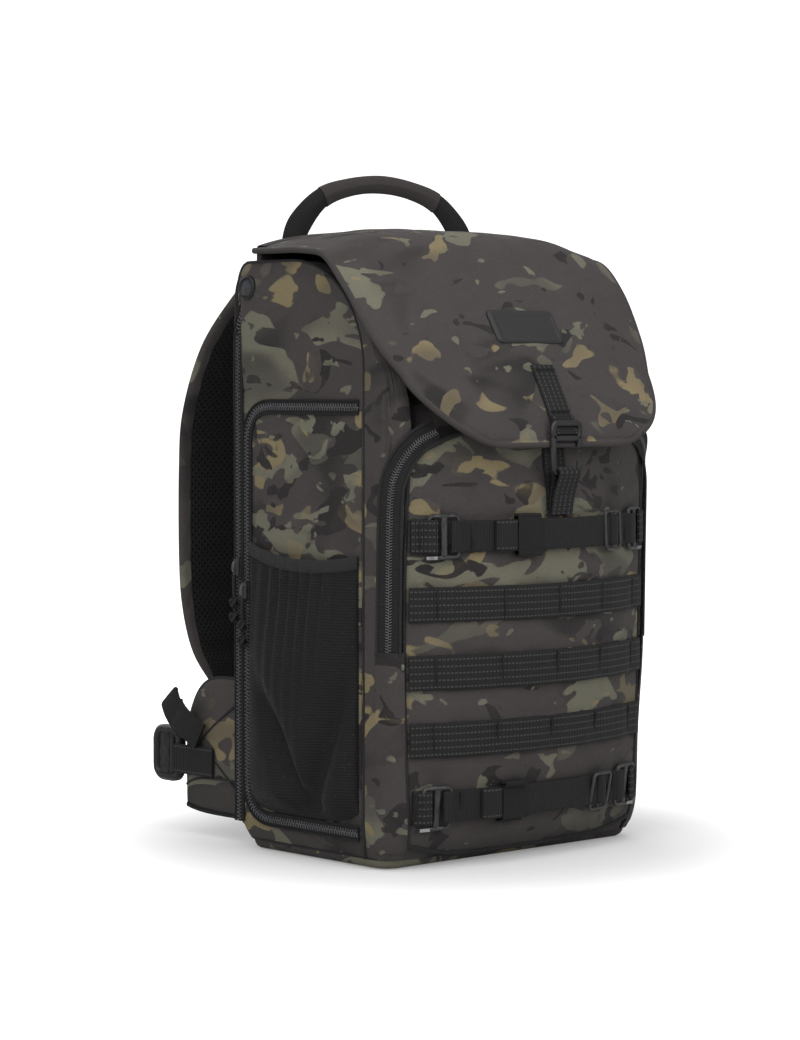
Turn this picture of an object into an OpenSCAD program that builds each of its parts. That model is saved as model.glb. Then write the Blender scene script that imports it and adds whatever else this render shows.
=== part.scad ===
// Flap-top backpack with a side door, webbing rows, shoulder straps and a hip belt.
// Millimetres. The front faces -Y, +X is to the right seen from the front, +Z is up, the floor is z = 0.

/* [Bag] */
// Width across the side panels
bag_w = 290; // [270:1:320]
// Depth from the front corners to the rear corners
bag_d = 180; // [165:1:200]
// Height of the body at its side seams
bag_h = 490; // [470:1:530]
// Thickness of the padded side and top panels
wall = 6; // [4:0.5:8]
// Thickness of the base panel
base_t = 8; // [6:0.5:10]
// Radius of the upright front corners
corner_r = 22; // [18:1:26]
// Distance from the front corner plane back to the side seam
seam_depth = 25; // [24:0.5:36]
// Radius of the hood that closes the top
hood_r = 87; // [70:1:95]
// Drop from the side seam height to the hood's own top
hood_drop = 8; // [6:0.5:12]
// Running clearance between separate pieces
gap = 0.3; // [0.25:0.05:0.4]

/* [Front pocket] */
// How far the front panel bulges past its own side edges
bulge = 37; // [25:1:45]
// How far the front panel's side edges stand out past the base
edge_bulge = 8.5; // [6:0.5:12]
// Height over which the bulge rises and falls
bulge_h = 420; // [400:1:450]
// Thickness of the front panel
front_t = 5; // [3:0.5:7]
// Height of the front panel's top edge
front_top = 350; // [330:1:360]
// Thickness of the bulkhead behind the front pocket
bulkhead_t = 4; // [3:0.5:5]

/* [Webbing rows] */
// Height of the lowest row's lower edge
row_low = 36; // [30:1:44]
// Distance from one row to the next
row_pitch = 53.5; // [50:0.5:56]
// Width of the row webbing
row_w = 27.5; // [25:0.5:30]
// Thickness of the webbing
web_t = 2; // [1.5:0.1:2.5]
// Distance from a row's end to the front panel's side edge
row_inset = 3; // [2:0.5:12]
// Width of the narrow strap webbing
strap_w = 25; // [20:1:25]

/* [Flap] */
// Half the width of the flap at its rear seam
flap_half = 142; // [140:0.5:150]
// How far the flap's sides stand out past its rear seam where it turns down
flap_flare = 15; // [8:0.5:18]
// Thickness of the flap
flap_t = 4; // [3:0.5:5]
// Height of the flap's crown above the side seams
flap_crown = 18; // [16:1:24]
// How far the flap hangs below the side seams
flap_hang = 155; // [140:1:165]
// How far the flap's lower edge stands in front of the front corners
flap_reach = 53; // [51:1:62]
// Width of the blank patch
patch_w = 74; // [50:1:84]

/* [Side door] */
// Distance from the side seam to the door opening
door_inset = 2; // [2:0.5:8]
// Distance from the door's zip back to the rear zip
door_back = 2; // [1:0.5:10]
// Height of the door opening's lower edge
door_low = 30; // [24:1:60]
// Height of the door opening's upper edge
door_high = 362; // [320:1:370]
// Thickness of the door
door_t = 5; // [4:0.5:6]
// Width of the zip tape
zip_w = 6; // [5:0.5:6.5]
// Thickness of the zip tape and coil
zip_t = 1.4; // [1:0.1:1.8]

/* [Bottle pockets] */
// Height of a pocket's mesh above its floor
pocket_h = 207; // [150:1:220]
// Height of a pocket's floor
pocket_low = 36; // [34:1:60]
// Distance from the door opening's edges to the ends of a pocket
pocket_inset = 2; // [1:0.5:12]
// How far a pocket stands off the side
pocket_bulge = 18; // [12:1:24]
// Thickness of the mesh
mesh_t = 2.5; // [2:0.1:3]
// Height of the binding along a pocket's mouth
binding_h = 10; // [6:0.5:12]

/* [Back and harness] */
// Thickness of the rear panel
rear_t = 3; // [2:0.5:4]
// Thickness of the frame sheet
sheet_t = 1.6; // [1:0.1:2.5]
// Thickness of the back pads
pad_t = 13; // [9:1:15]
// Distance of a shoulder strap from the middle
strap_x = 90; // [80:1:95]
// Width of a shoulder strap
shoulder_w = 70; // [60:1:75]
// Thickness of a shoulder strap
shoulder_t = 14; // [10:1:16]
// Distance of the strap swing axis behind the bag
swing_y = 20; // [19:1:23]
// Half the thickness of a hip wing
wing_r = 8; // [6:0.5:9]
// Length of a hip wing
wing_l = 85; // [70:1:95]
// Height of the carry handle's top above the side seams
handle_h = 69; // [60:1:80]
// Half the spread of the handle's feet
handle_half = 98; // [88:1:104]

/* [Hidden] */
$fn = 48;
hw = bag_w / 2;
hd = bag_d / 2;
seam_y = -hd + seam_depth;
hood_y = seam_y + hood_r;
hood_z = bag_h - hood_drop - hood_r;
hood_top = bag_h - hood_drop;
arc_x = hw - corner_r;
arc_y = -hd + corner_r;
rear_zip_w = 7;
door_y = seam_y + door_inset;
door_rear = hd - rear_zip_w - door_back - zip_w;
door_w = door_rear - door_y;
pocket_l = door_w - 2 * pocket_inset;
rear_y = hd + gap;
sheet_y = rear_y + rear_t;
pad_y = sheet_y + sheet_t;
camo = [0.25, 0.24, 0.2];
black = [0.06, 0.06, 0.06];
grey = [0.3, 0.3, 0.3];

// Smooth curve through a list of points, at index u
function catmull(a, b, c, d, t) =
    0.5 * (2 * b + (c - a) * t + (2 * a - 5 * b + 4 * c - d) * t * t + (3 * b - a - 3 * c + d) * t * t * t);
function at_end(p, i) =
    i < 0 ? 2 * p[0] - p[1] : i >= len(p) ? 2 * p[len(p) - 1] - p[len(p) - 2] : p[i];
function curve(p, u) =
    let (i = min(floor(u), len(p) - 2))
    catmull(at_end(p, i - 1), at_end(p, i), at_end(p, i + 1), at_end(p, i + 2), u - i);
function unit(v) = v / norm(v);

// Closed shell between two grids of points; rows cross columns points out of the first grid
module slab(outer, inner) {
    n = len(outer);
    m = len(outer[0]);
    function a(i, j) = i * m + j;
    function b(i, j) = n * m + i * m + j;
    skins = [for (i = [0:n - 2], j = [0:m - 2]) each [
        [a(i, j), a(i, j + 1), a(i + 1, j + 1)], [a(i, j), a(i + 1, j + 1), a(i + 1, j)],
        [b(i, j), b(i + 1, j + 1), b(i, j + 1)], [b(i, j), b(i + 1, j), b(i + 1, j + 1)]]];
    ends = [for (j = [0:m - 2]) each [
        [a(0, j + 1), a(0, j), b(0, j)], [a(0, j + 1), b(0, j), b(0, j + 1)],
        [a(n - 1, j), a(n - 1, j + 1), b(n - 1, j + 1)], [a(n - 1, j), b(n - 1, j + 1), b(n - 1, j)]]];
    sides = [for (i = [0:n - 2]) each [
        [a(i, 0), a(i + 1, 0), b(i + 1, 0)], [a(i, 0), b(i + 1, 0), b(i, 0)],
        [a(i + 1, m - 1), a(i, m - 1), b(i, m - 1)], [a(i + 1, m - 1), b(i, m - 1), b(i + 1, m - 1)]]];
    polyhedron([for (r = outer) each r, for (r = inner) each r], concat(skins, ends, sides));
}

// Plate across X: the outline's x runs along Y and its y up Z
module side_plate(x, t) {
    translate([x, 0, 0]) rotate([90, 0, 90]) linear_extrude(t) children();
}

// Plate across Y: the outline's x runs along X and its y up Z, from y forward by t
module front_plate(y, t) {
    translate([0, y, 0]) rotate([90, 0, 0]) linear_extrude(t) children();
}

// Rectangle between two corners with rounded corners
module rounded(x0, y0, x1, y1, r) {
    translate([x0 + r, y0]) square([x1 - x0 - 2 * r, y1 - y0]);
    translate([x0, y0 + r]) square([x1 - x0, y1 - y0 - 2 * r]);
    for (x = [x0 + r, x1 - r], y = [y0 + r, y1 - r]) translate([x, y]) circle(r);
}

// Front surface: a parabola across that runs tangent into the round corners, both standing out with height
edge_rise = 15;
edge_lean = 6;
function rise(z) = pow(max(0, sin(180 * z / bulge_h)), 0.75);
function edge_sine(z) =
    let (m = 2 * bulge * rise(z) / (hw - corner_r / 2))
    m / norm([1, m]);
function edge_x(z) = hw - corner_r * (1 - edge_sine(z));
function edge_y(z) = -hd - edge_bulge * (1 - exp(-z / edge_rise)) - edge_lean * pow(z / front_top, 4);
function corner_y(z) = edge_y(z) + corner_r * sqrt(1 - pow(edge_sine(z), 2));
function front_y(x, z) =
    abs(x) < edge_x(z)
        ? edge_y(z) - bulge * rise(z) * (1 - pow(x / edge_x(z), 2))
        : corner_y(z) - sqrt(max(0, pow(corner_r, 2) - pow(abs(x) - arc_x, 2)));
function front_slope(x, z) = front_y(x + 0.5, z) - front_y(x - 0.5, z);
function front_lean(x, z) = front_y(x, z - 0.5) - front_y(x, z + 0.5);
function front_pt(x, z, off) =
    let (d = front_slope(x, z), l = norm([d, 1]))
    [x + off * d / l, front_y(x, z) - off / l, z];

// Strip lying on the front surface between two offsets
module front_strip(x0, x1, z0, z1, off0, off1, steps = 24) {
    xs = [for (i = [0:steps]) x0 + (x1 - x0) * i / steps];
    zs = [for (j = [0:2]) z0 + (z1 - z0) * j / 2];
    slab([for (x = xs) [for (z = zs) front_pt(x, z, off1)]],
        [for (x = xs) [for (z = zs) front_pt(x, z, off0)]]);
}

// Places a flat piece on the front surface, its own x along the surface and -y outwards
module on_front(x, z, off) {
    translate(front_pt(x, z, off)) rotate([0, 0, atan(front_slope(x, z))])
        rotate([atan(front_lean(x, z)), 0, 0]) children();
}

// Outline of a side panel with the hood's round front shoulder
module side_outline() {
    translate([seam_y, base_t]) square([hd - seam_y, hood_z - base_t]);
    translate([hood_y, hood_z - 1]) square([hd - hood_y, hood_r + 1]);
    intersection() {
        translate([hood_y, hood_z]) circle(hood_r, $fn = 96);
        translate([seam_y, hood_z - 1]) square([hood_r + 1, hood_r + 1]);
    }
}

module base_panel() {
    color(camo) linear_extrude(base_t) {
        translate([-arc_x, -hd]) square([2 * arc_x, bag_d]);
        translate([-hw, arc_y]) square([bag_w, hd - arc_y]);
        for (s = [-1, 1]) translate([s * arc_x, arc_y]) circle(corner_r);
    }
}

module left_side_panel() {
    color(camo) side_plate(-hw, wall) difference() {
        side_outline();
        translate([door_y, door_low]) square([door_w, door_high - door_low]);
    }
}

module right_side_panel() {
    color(camo) side_plate(hw - wall, wall) side_outline();
}

// The hood band, with the rib that the flap is sewn to and two feet for the carry handle
handle_inset = 16;
handle_y = hd - handle_inset;
handle_t = 5;
handle_z = bag_h - 2;
foot_w = 25;
rib_t = 5;
seam_edge = handle_y - 0.5;
module top_panel() {
    color(camo) {
        side_plate(-hw + wall, bag_w - 2 * wall) {
            intersection() {
                difference() {
                    translate([hood_y, hood_z]) circle(hood_r, $fn = 96);
                    translate([hood_y, hood_z]) circle(hood_r - wall, $fn = 96);
                }
                translate([seam_y, hood_z]) square([hood_r, hood_r]);
            }
            translate([hood_y, hood_top - wall]) square([hd - hood_y, wall]);
            translate([seam_y, front_top + gap]) square([wall, hood_z - front_top - gap]);
        }
        front_plate(seam_edge, rib_t) polygon(concat(
            [[hw - wall, hood_top - 1], [-hw + wall, hood_top - 1]],
            [for (i = [-8:8]) let (x = (hw - wall) * i / 8)
                [x, bag_h + flap_crown - flap_sag(x, flap_line[0]) - flap_t - 2 * gap]]));
        for (s = [-1, 1]) translate([s * handle_half - foot_w / 2, handle_y, hood_top])
            cube([foot_w, handle_t, handle_z - hood_top - gap]);
    }
}

module bulkhead() {
    color(black) front_plate(seam_y + bulkhead_t, bulkhead_t)
        translate([-hw + wall, base_t]) square([bag_w - 2 * wall, front_top - base_t]);
}

// Upright corner strips from the side seams round to the front panel
gusset_t = 5;
function corner_pt(a, z, off) =
    let (r = corner_r + off)
    [-arc_x + r * cos(a), corner_y(z) + r * sin(a), z];
module front_gussets() {
    turns = 10;
    zs = [for (i = [0:18]) base_t + (front_top - base_t) * i / 18];
    end = function (z) 270 - asin(edge_sine(z)) - 1.2 * gap / corner_r * 180 / PI;
    strip = function (z, off) concat(
        [[-hw - off, seam_y, z], [-hw - off, (seam_y + corner_y(z)) / 2, z]],
        [for (i = [0:turns]) corner_pt(180 + (end(z) - 180) * i / turns, z, off)]);
    color(camo) for (s = [0, 1]) mirror([s, 0, 0])
        slab([for (z = zs) strip(z, -gusset_t)], [for (z = zs) strip(z, 0)]);
}

// Front panel with its lower and upper corners rounded off
corner_low = 12;
corner_high = 26;
module front_panel() {
    ks = [for (i = [-20:20]) i / 20];
    low = base_t + gap;
    at = function (k, t, off)
        let (q = pow(k, 4), z0 = low + corner_low * q, z1 = front_top - corner_high * q,
            z = z0 + (z1 - z0) * t)
        front_pt(k * edge_x(z), z, off);
    ts = [for (j = [0:18]) j / 18];
    color(camo) slab([for (k = ks) [for (t = ts) at(k, t, 0)]],
        [for (k = ks) [for (t = ts) at(k, t, -front_t)]]);
}

// Row k counted from the lowest; the rows carry pouches and the two outer ones the accessory straps
function row_z(k) = row_low + row_pitch * k;
function row_end(k) = edge_x(row_z(k) + row_w / 2) - row_inset;
module webbing_row(k) {
    color(black) front_strip(-row_end(k), row_end(k), row_z(k), row_z(k) + row_w, gap, gap + web_t, 32);
}

anchor_l = 36;
module anchor_loops(k) {
    color(black) for (x = [-row_end(k), row_end(k) - anchor_l])
        front_strip(x, x + anchor_l, row_z(k), row_z(k) + row_w, gap, gap + web_t, 12);
}

// Strap down the middle of the front with a loop that takes the flap's hook
hook_w = 34;
hook_t = 3.6;
hook_bar = 5;
hook_drop = 25.5;
hook_low = bag_h - flap_hang - hook_drop;
hook_h = 44;
hook_y = -hd - flap_reach - 2 * gap;
loop_r = hook_bar / 2 + 1;
module hook_loop_strap() {
    loop_low = row_z(4) + row_w + 4;
    seat = front_y(0, loop_low) - gap;
    bar = [hook_y - hook_t / 2, hook_low + hook_bar / 2];
    color(black) {
        front_strip(-strap_w / 2, strap_w / 2, loop_low, front_top - 4, gap, gap + web_t, 4);
        side_plate(-strap_w / 2 + 1, strap_w - 2) difference() {
            union() {
                translate(bar) circle(loop_r + web_t);
                polygon([[bar[0] - loop_r, bar[1] - 2], [bar[0] + 2, bar[1] + loop_r + web_t - 0.4],
                    [seat - 1, loop_low + 14], [seat - 1, loop_low]]);
            }
            translate(bar) circle(loop_r);
            translate([bar[0], bar[1] - loop_r]) square([3, 2 * loop_r]);
        }
    }
}

// Zip tape round the front pocket's upright corners
front_zip_l = 150;
zip_turn = [192, 236];
module front_zip() {
    as = [for (i = [0:8]) zip_turn[0] + (zip_turn[1] - zip_turn[0]) * i / 8];
    zs = [for (j = [0:8]) row_z(2) + row_w + front_zip_l * j / 8];
    color(black) for (s = [0, 1]) mirror([s, 0, 0])
        slab([for (a = as) [for (z = zs) corner_pt(a, z, gap / 2 + zip_t)]],
            [for (a = as) [for (z = zs) corner_pt(a, z, gap / 2)]]);
}

module door_zip() {
    color(black) side_plate(-hw - zip_t, zip_t) difference() {
        translate([door_y + 2, door_low - zip_w])
            square([door_w - 2 + zip_w, door_high - door_low + 2 * zip_w]);
        translate([door_y - 1, door_low]) square([door_w + 1, door_high - door_low]);
    }
}

rear_zip_low = 25;
rear_zip_drop = 47;
module rear_zip() {
    color(black) for (x = [-hw - zip_t, hw]) side_plate(x, zip_t)
        translate([hd - rear_zip_w, rear_zip_low]) square([rear_zip_w, bag_h - rear_zip_drop - rear_zip_low]);
}

plug_r = 10;
plug_t = 1.6;
plug_inset = 17;
plug_drop = 29;
module port_plug() {
    color(black) translate([-hw, hd - plug_inset, bag_h - plug_drop]) rotate([0, -90, 0]) {
        cylinder(r = plug_r, h = plug_t);
        rotate_extrude() translate([plug_r - 2, plug_t]) circle(1.4);
    }
}

// Two shelves that split the main compartment
divider_t = 8;
divider_z = [170, 330];
divider_back = 4;
module padded_dividers() {
    color(grey) for (z = divider_z) translate([-hw + wall, seam_y + bulkhead_t, z])
        cube([bag_w - 2 * wall, hd - seam_y - bulkhead_t - divider_back, divider_t]);
}

// Bottle pocket: an arc-shaped wall with a floor
pocket_y = door_y + door_w / 2;
pocket_r = (pow(pocket_l / 2, 2) + pow(pocket_bulge, 2)) / (2 * pocket_bulge);
pocket_cx = -hw - gap - pocket_bulge + pocket_r;
module pocket_segment(r) {
    intersection() {
        translate([pocket_cx, pocket_y]) circle(r, $fn = 96);
        translate([-hw - gap - pocket_bulge - 5, pocket_y - pocket_l])
            square([pocket_bulge + 5, 2 * pocket_l]);
    }
}
module pocket_mesh() {
    color(black) {
        translate([0, 0, pocket_low]) linear_extrude(pocket_h) difference() {
            pocket_segment(pocket_r);
            translate([pocket_cx, pocket_y]) circle(pocket_r - mesh_t, $fn = 96);
        }
        translate([0, 0, pocket_low - mesh_t]) linear_extrude(mesh_t) pocket_segment(pocket_r);
    }
}
module pocket_binding() {
    color(black) translate([0, 0, pocket_low + pocket_h]) linear_extrude(binding_h) difference() {
        pocket_segment(pocket_r + 0.6);
        translate([pocket_cx, pocket_y]) circle(pocket_r - mesh_t - 0.6, $fn = 96);
    }
}
module left_pocket_mesh() { pocket_mesh(); }
module left_pocket_binding() { pocket_binding(); }
module right_pocket_mesh() { mirror([1, 0, 0]) pocket_mesh(); }
module right_pocket_binding() { mirror([1, 0, 0]) pocket_binding(); }

module side_door() {
    color(camo) side_plate(-hw, door_t)
        translate([door_y + 0.5, door_low + 0.5]) square([door_w - 1, door_high - door_low - 1]);
}

// Zip slider at rest height, and its knotted cord pull
slider_h = 14;
slider_t = 4;
pull_r = 2.5;
knot_r = 4.5;
door_slider_z = 206;
rear_slider_z = 225;
slider_x = -hw - zip_t - gap;
pull_x = slider_x - knot_r;
module slider(y, w, z) {
    color(grey) translate([slider_x - slider_t, y, z]) cube([slider_t, w, slider_h]);
}
module pull(y, z) {
    color(black) translate([pull_x, y, z - pull_r - gap]) {
        sphere(pull_r);
        translate([0, 0, -34]) cylinder(r = 2, h = 34);
        for (k = [22, 34]) translate([0, 0, -k]) sphere(knot_r);
    }
}
module door_slider() { slider(door_rear, zip_w, door_slider_z); }
module door_pull() { pull(door_rear + zip_w / 2 - 1, door_slider_z); }
module rear_slider() { slider(hd - rear_zip_w, rear_zip_w, rear_slider_z); }
module rear_pull() { pull(hd - rear_zip_w / 2 + 1, rear_slider_z); }

// Flap: a middle profile of [y, z, drop at the side edges, half width], from the rear seam to the lower edge
flap_edge = 18;
flap_tip = 66;
flap_wide = flap_half + flap_flare;
flap_line = [
    [seam_edge, bag_h + flap_crown, 0.83 * flap_edge, flap_half],
    [hd * 4 / 9, bag_h + flap_crown + 2, flap_edge, flap_half + 0.47 * flap_flare],
    [0, bag_h + flap_crown + 2, 1.05 * flap_edge, flap_half + 0.73 * flap_flare],
    [-hd * 4 / 9, bag_h + 0.61 * flap_crown, 0.95 * flap_edge, flap_wide],
    [-hd * 7 / 9, bag_h - 0.123 * flap_hang, 0.9 * flap_edge, flap_wide],
    [-hd - 0.15 * flap_reach, bag_h - 0.394 * flap_hang, 0.9 * flap_edge, 0.962 * flap_wide],
    [-hd - 0.49 * flap_reach, bag_h - 0.6 * flap_hang, 0.72 * flap_edge, 0.879 * flap_wide],
    [-hd - 0.887 * flap_reach, bag_h - 0.865 * flap_hang, 0.23 * flap_edge, 0.729 * flap_wide],
    [-hd - flap_reach, bag_h - flap_hang, 0, flap_tip]
];
flap_fold = 3;
flap_end = len(flap_line) - 1;
function flap_out(u) =
    let (d = curve(flap_line, min(u + 0.02, flap_end)) - curve(flap_line, max(u - 0.02, 0)))
    unit([d[1], -d[0]]);
function flap_sag(x, p) = p[2] * pow(abs(x / p[3]), 3);
function flap_pt(x, u, off) =
    let (p = curve(flap_line, u), n = flap_out(u), k = off - flap_sag(x, p))
    [x, p[0] + n[0] * k, p[1] + n[1] * k];
function flap_w(u) = curve(flap_line, u)[3];
module flap_piece(u0, u1, rows) {
    us = [for (i = [0:rows]) u0 + (u1 - u0) * i / rows];
    ks = [for (j = [-8:8]) j / 8];
    color(camo) slab(
        [for (u = us) [for (k = ks) flap_pt(k * flap_w(u), u, 0)]],
        [for (u = us) [for (k = ks) flap_pt(k * flap_w(u), u, -flap_t)]]);
}
module flap_strip(w, u0, u1, off0, off1) {
    us = [for (i = [0:8]) u0 + (u1 - u0) * i / 8];
    ks = [for (j = [-4:4]) j * w / 8];
    slab([for (u = us) [for (k = ks) flap_pt(k, u, off1)]],
        [for (u = us) [for (k = ks) flap_pt(k, u, off0)]]);
}
patch_u = [4.68, 5.42];
module flap_top() { flap_piece(0, flap_fold, 12); }
module flap_front() { flap_piece(flap_fold + 0.008, flap_end, 24); }
module flap_patch() { color(grey) flap_strip(patch_w, patch_u[0], patch_u[1], gap, gap + 1.6); }
module flap_strap() { color(black) flap_strip(strap_w, 6, 7.3, gap, gap + web_t); }

// Open hook on the flap's strap: a slotted head and a J with its mouth at the side
module flap_hook() {
    color(black) front_plate(hook_y, hook_t) translate([-hook_w / 2, hook_low]) difference() {
        rounded(0, 0, hook_w, hook_h, 4);
        translate([4, hook_h - 9]) square([hook_w - 8, 5]);
        translate([4, hook_bar]) square([hook_w - 8, hook_h - 20 - hook_bar]);
        translate([hook_w - 5, hook_bar + 8]) square([6, hook_h - 28 - hook_bar]);
    }
}

// Zipped rear panel with its stiffener and pads
module rear_outline(inset) {
    rounded(-hw + inset, base_t + 2 + inset, hw - inset, bag_h - 6 - inset, 14);
}
module rear_panel() { color(black) front_plate(rear_y + rear_t, rear_t) rear_outline(0); }
module frame_sheet() { color(grey) front_plate(sheet_y + sheet_t, sheet_t) rear_outline(6); }

// Crowned pad on the rear, with its sides drawn in between the corners
module pad(x0, x1, z0, z1, t) {
    n = 8;
    zs = [for (i = [0:n]) -cos(180 * i / n)];
    crown = function (a, b) t * (0.3 + 0.7 * pow((1 - pow(a, 4)) * (1 - pow(b, 4)), 0.5));
    at = function (a, b, y) [
        (x0 + x1) / 2 + (x1 - x0) / 2 * b * (1 - 0.04 * (1 - a * a)), pad_y + y,
        (z0 + z1) / 2 + (z1 - z0) / 2 * a * (1 - 0.03 * (1 - b * b))];
    slab([for (a = zs) [for (b = zs) at(a, b, crown(a, b))]], [for (a = zs) [for (b = zs) at(a, b, 0)]]);
}
pad_inner = 16;
pad_outer = 108;
pad_low = 152;
pad_h = 130;
pad_pitch = 142;
module back_pads() {
    color(black) for (s = [-1, 1], z = [pad_low, pad_low + pad_pitch])
        pad(min(s * pad_inner, s * pad_outer), max(s * pad_inner, s * pad_outer), z, z + pad_h, pad_t);
}
lumbar_half = 72;
lumbar_low = 26;
lumbar_h = 112;
lumbar_extra = 3;
module lumbar_pad() {
    color(black) pad(-lumbar_half, lumbar_half, lumbar_low, lumbar_low + lumbar_h, pad_t + lumbar_extra);
}

// Sewn wedges that carry the shoulder straps' upper ends, and tabs for their lower webbing
yoke_z = bag_h - 20;
yoke_w = 56;
yoke_t = 12;
tab_z = 36;
tab_h = 8;
tab_w = 30;
strap_axis_y = hd + swing_y;
module strap_yoke() {
    color(camo) for (s = [-1, 1]) side_plate(s * strap_x - yoke_w / 2, yoke_w)
        polygon([[pad_y, bag_h - 3], [pad_y + 9, bag_h - 4], [strap_axis_y + yoke_t, yoke_z + yoke_t / 2],
            [strap_axis_y + yoke_t, yoke_z], [pad_y, yoke_z]]);
}
module strap_anchors() {
    color(black) for (s = [-1, 1])
        translate([s * strap_x - tab_w / 2, pad_y, tab_z]) cube([tab_w, strap_axis_y + 6 - pad_y, tab_h]);
}

// Band swept along a line in the YZ plane: rows of [y, z, half width, half thickness, lean]
// where lean 1 turns an end face level
module band(line, x, steps) {
    last = len(line) - 1;
    us = [for (i = [0:steps]) last * i / steps];
    across = function (u)
        let (p = curve(line, u), d = curve(line, min(u + 0.02, last)) - curve(line, max(u - 0.02, 0)),
            n = unit([d[1], -d[0]]), f = n[0] < 0 ? -n : n)
        unit(f * (1 - p[4]) + [1, 0] * p[4]);
    edge = function (u, k, s)
        let (p = curve(line, u), n = across(u), q = p[3] * s * (abs(k) > 0.8 ? 0.55 : 1))
        [x + k * p[2], p[0] + n[0] * q, p[1] + n[1] * q];
    ks = [-1, -0.75, 0, 0.75, 1];
    slab([for (k = ks) [for (u = us) edge(u, k, 1)]], [for (k = ks) [for (u = us) edge(u, k, -1)]]);
}
half_t = shoulder_t / 2;
strap_out = 84;
strap_drop = 344;
shoulder_line = [
    [strap_axis_y, yoke_z - gap, 0.36 * shoulder_w, half_t - 1, 1],
    [strap_axis_y + 0.23 * strap_out, yoke_z - 0.053 * strap_drop, 0.44 * shoulder_w, half_t, 0.25],
    [strap_axis_y + 0.64 * strap_out, yoke_z - 0.168 * strap_drop, shoulder_w / 2, half_t, 0],
    [strap_axis_y + 0.936 * strap_out, yoke_z - 0.323 * strap_drop, shoulder_w / 2, half_t, 0],
    [strap_axis_y + strap_out, yoke_z - 0.466 * strap_drop, shoulder_w / 2, half_t, 0],
    [strap_axis_y + strap_out, yoke_z - 0.7 * strap_drop, shoulder_w / 2, half_t, 0],
    [strap_axis_y + 0.985 * strap_out, yoke_z - 0.82 * strap_drop, 0.457 * shoulder_w, half_t, 0],
    [strap_axis_y + 0.93 * strap_out, yoke_z - 0.92 * strap_drop, 0.357 * shoulder_w, half_t, 0],
    [strap_axis_y + 0.8 * strap_out, yoke_z - strap_drop, strap_w / 2 + 2.5, 4, 0]
];
lock_l = 16;
strap_end = shoulder_line[len(shoulder_line) - 1];
strap_dir = unit([strap_end[0], strap_end[1]] - [shoulder_line[7][0], shoulder_line[7][1]]);
lock_start = [strap_end[0], strap_end[1]] + strap_dir * gap;
lock_stop = lock_start + strap_dir * (lock_l + gap);
lock_tail = lock_stop + strap_dir * 8;
tab_top = tab_z + tab_h + gap;
webbing_rise = lock_tail[1] - tab_top;
webbing_line = [
    [lock_stop[0], lock_stop[1], strap_w / 2, web_t / 2, 0],
    [lock_tail[0], lock_tail[1], strap_w / 2, web_t / 2, 0],
    [strap_axis_y + 0.308 * strap_out, tab_top + 0.7 * webbing_rise, strap_w / 2, web_t / 2, 0],
    [strap_axis_y + 0.09 * strap_out, tab_top + 0.23 * webbing_rise, strap_w / 2, web_t / 2, 0.2],
    [strap_axis_y, tab_top, strap_w / 2, web_t / 2, 1]
];
module shoulder_strap(s) { color(camo) band(shoulder_line, s * strap_x, 32); }
module strap_webbing(s) { color(black) band(webbing_line, s * strap_x, 12); }

// Two-slot buckle between the padded strap and its webbing
module ladder_lock(s) {
    color(black) translate([s * strap_x, lock_start[0], lock_start[1]])
        rotate([atan2(strap_dir[1], strap_dir[0]), 0, 0]) difference() {
            translate([-16, 0, -3]) cube([32, lock_l, 6]);
            for (y = [3, lock_l - 6]) translate([-13, y, -4]) cube([26, 3, 8]);
        }
}
module left_shoulder_strap() { shoulder_strap(-1); }
module left_strap_webbing() { strap_webbing(-1); }
module left_ladder_lock() { ladder_lock(-1); }
module right_shoulder_strap() { shoulder_strap(1); }
module right_strap_webbing() { strap_webbing(1); }
module right_ladder_lock() { ladder_lock(1); }

// Hip wing: a fin with a round root on its swing axis, tapering to the tip
wing_x = hw - 17;
wing_root = pad_y + gap;
wing_low = 22;
wing_h = 114;
wing_tip = wing_root + wing_l;
module hip_wing() {
    n = 12;
    ls = [for (i = [0:n]) wing_l * (1 - cos(90 * i / n))];
    ks = [for (j = [0:8]) -cos(180 * j / 8)];
    half = function (l, k)
        let (root = l < wing_r ? sqrt(max(0.01, 1 - pow(1 - l / wing_r, 2))) : 1)
        wing_r * max(0.12, root * (1 - 0.45 * pow(l / wing_l, 2))) * (0.45 + 0.55 * sqrt(1 - pow(k, 4)));
    at = function (l, k, s)
        let (q = pow(l / wing_l, 6), low = wing_low + 4 * q, high = wing_low + wing_h - 52 * q)
        [-wing_x + s * half(l, k), wing_root + l, (low + high) / 2 + (high - low) / 2 * k];
    color(camo) slab([for (k = ks) [for (l = ls) at(l, k, -1)]], [for (k = ks) [for (l = ls) at(l, k, 1)]]);
}

// Belt webbing from the wing to its buckle half, with the spare end folded into a bow above it
belt_z = 52;
belt_over = 36;
bow_l = 44;
bow_turn = [50, 32];
bow_y = [-6, -29];
bow_z = [78, 74];
buckle_l = 42;
buckle_h = 50;
buckle_low = 42;
module hip_webbing() {
    color(black) translate([-wing_x - wing_r - gap, wing_tip, 0]) {
        translate([-web_t, -belt_over, belt_z]) cube([web_t, belt_over, strap_w]);
        for (i = [0, 1]) translate([-web_t * (i + 1), bow_y[i], bow_z[i]]) rotate([bow_turn[i], 0, 0])
            cube([web_t, bow_l, strap_w]);
    }
}
module hip_buckle() {
    color(black) translate([-wing_x - wing_r, 0, 0]) rotate([90, 0, 90]) linear_extrude(11)
        rounded(wing_tip + gap, buckle_low, wing_tip + gap + buckle_l, buckle_low + buckle_h, 12);
}
module left_hip_wing() { hip_wing(); }
module left_hip_webbing() { hip_webbing(); }
module left_hip_buckle() { hip_buckle(); }
module right_hip_wing() { mirror([1, 0, 0]) hip_wing(); }
module right_hip_webbing() { mirror([1, 0, 0]) hip_webbing(); }
module right_hip_buckle() { mirror([1, 0, 0]) hip_buckle(); }

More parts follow.
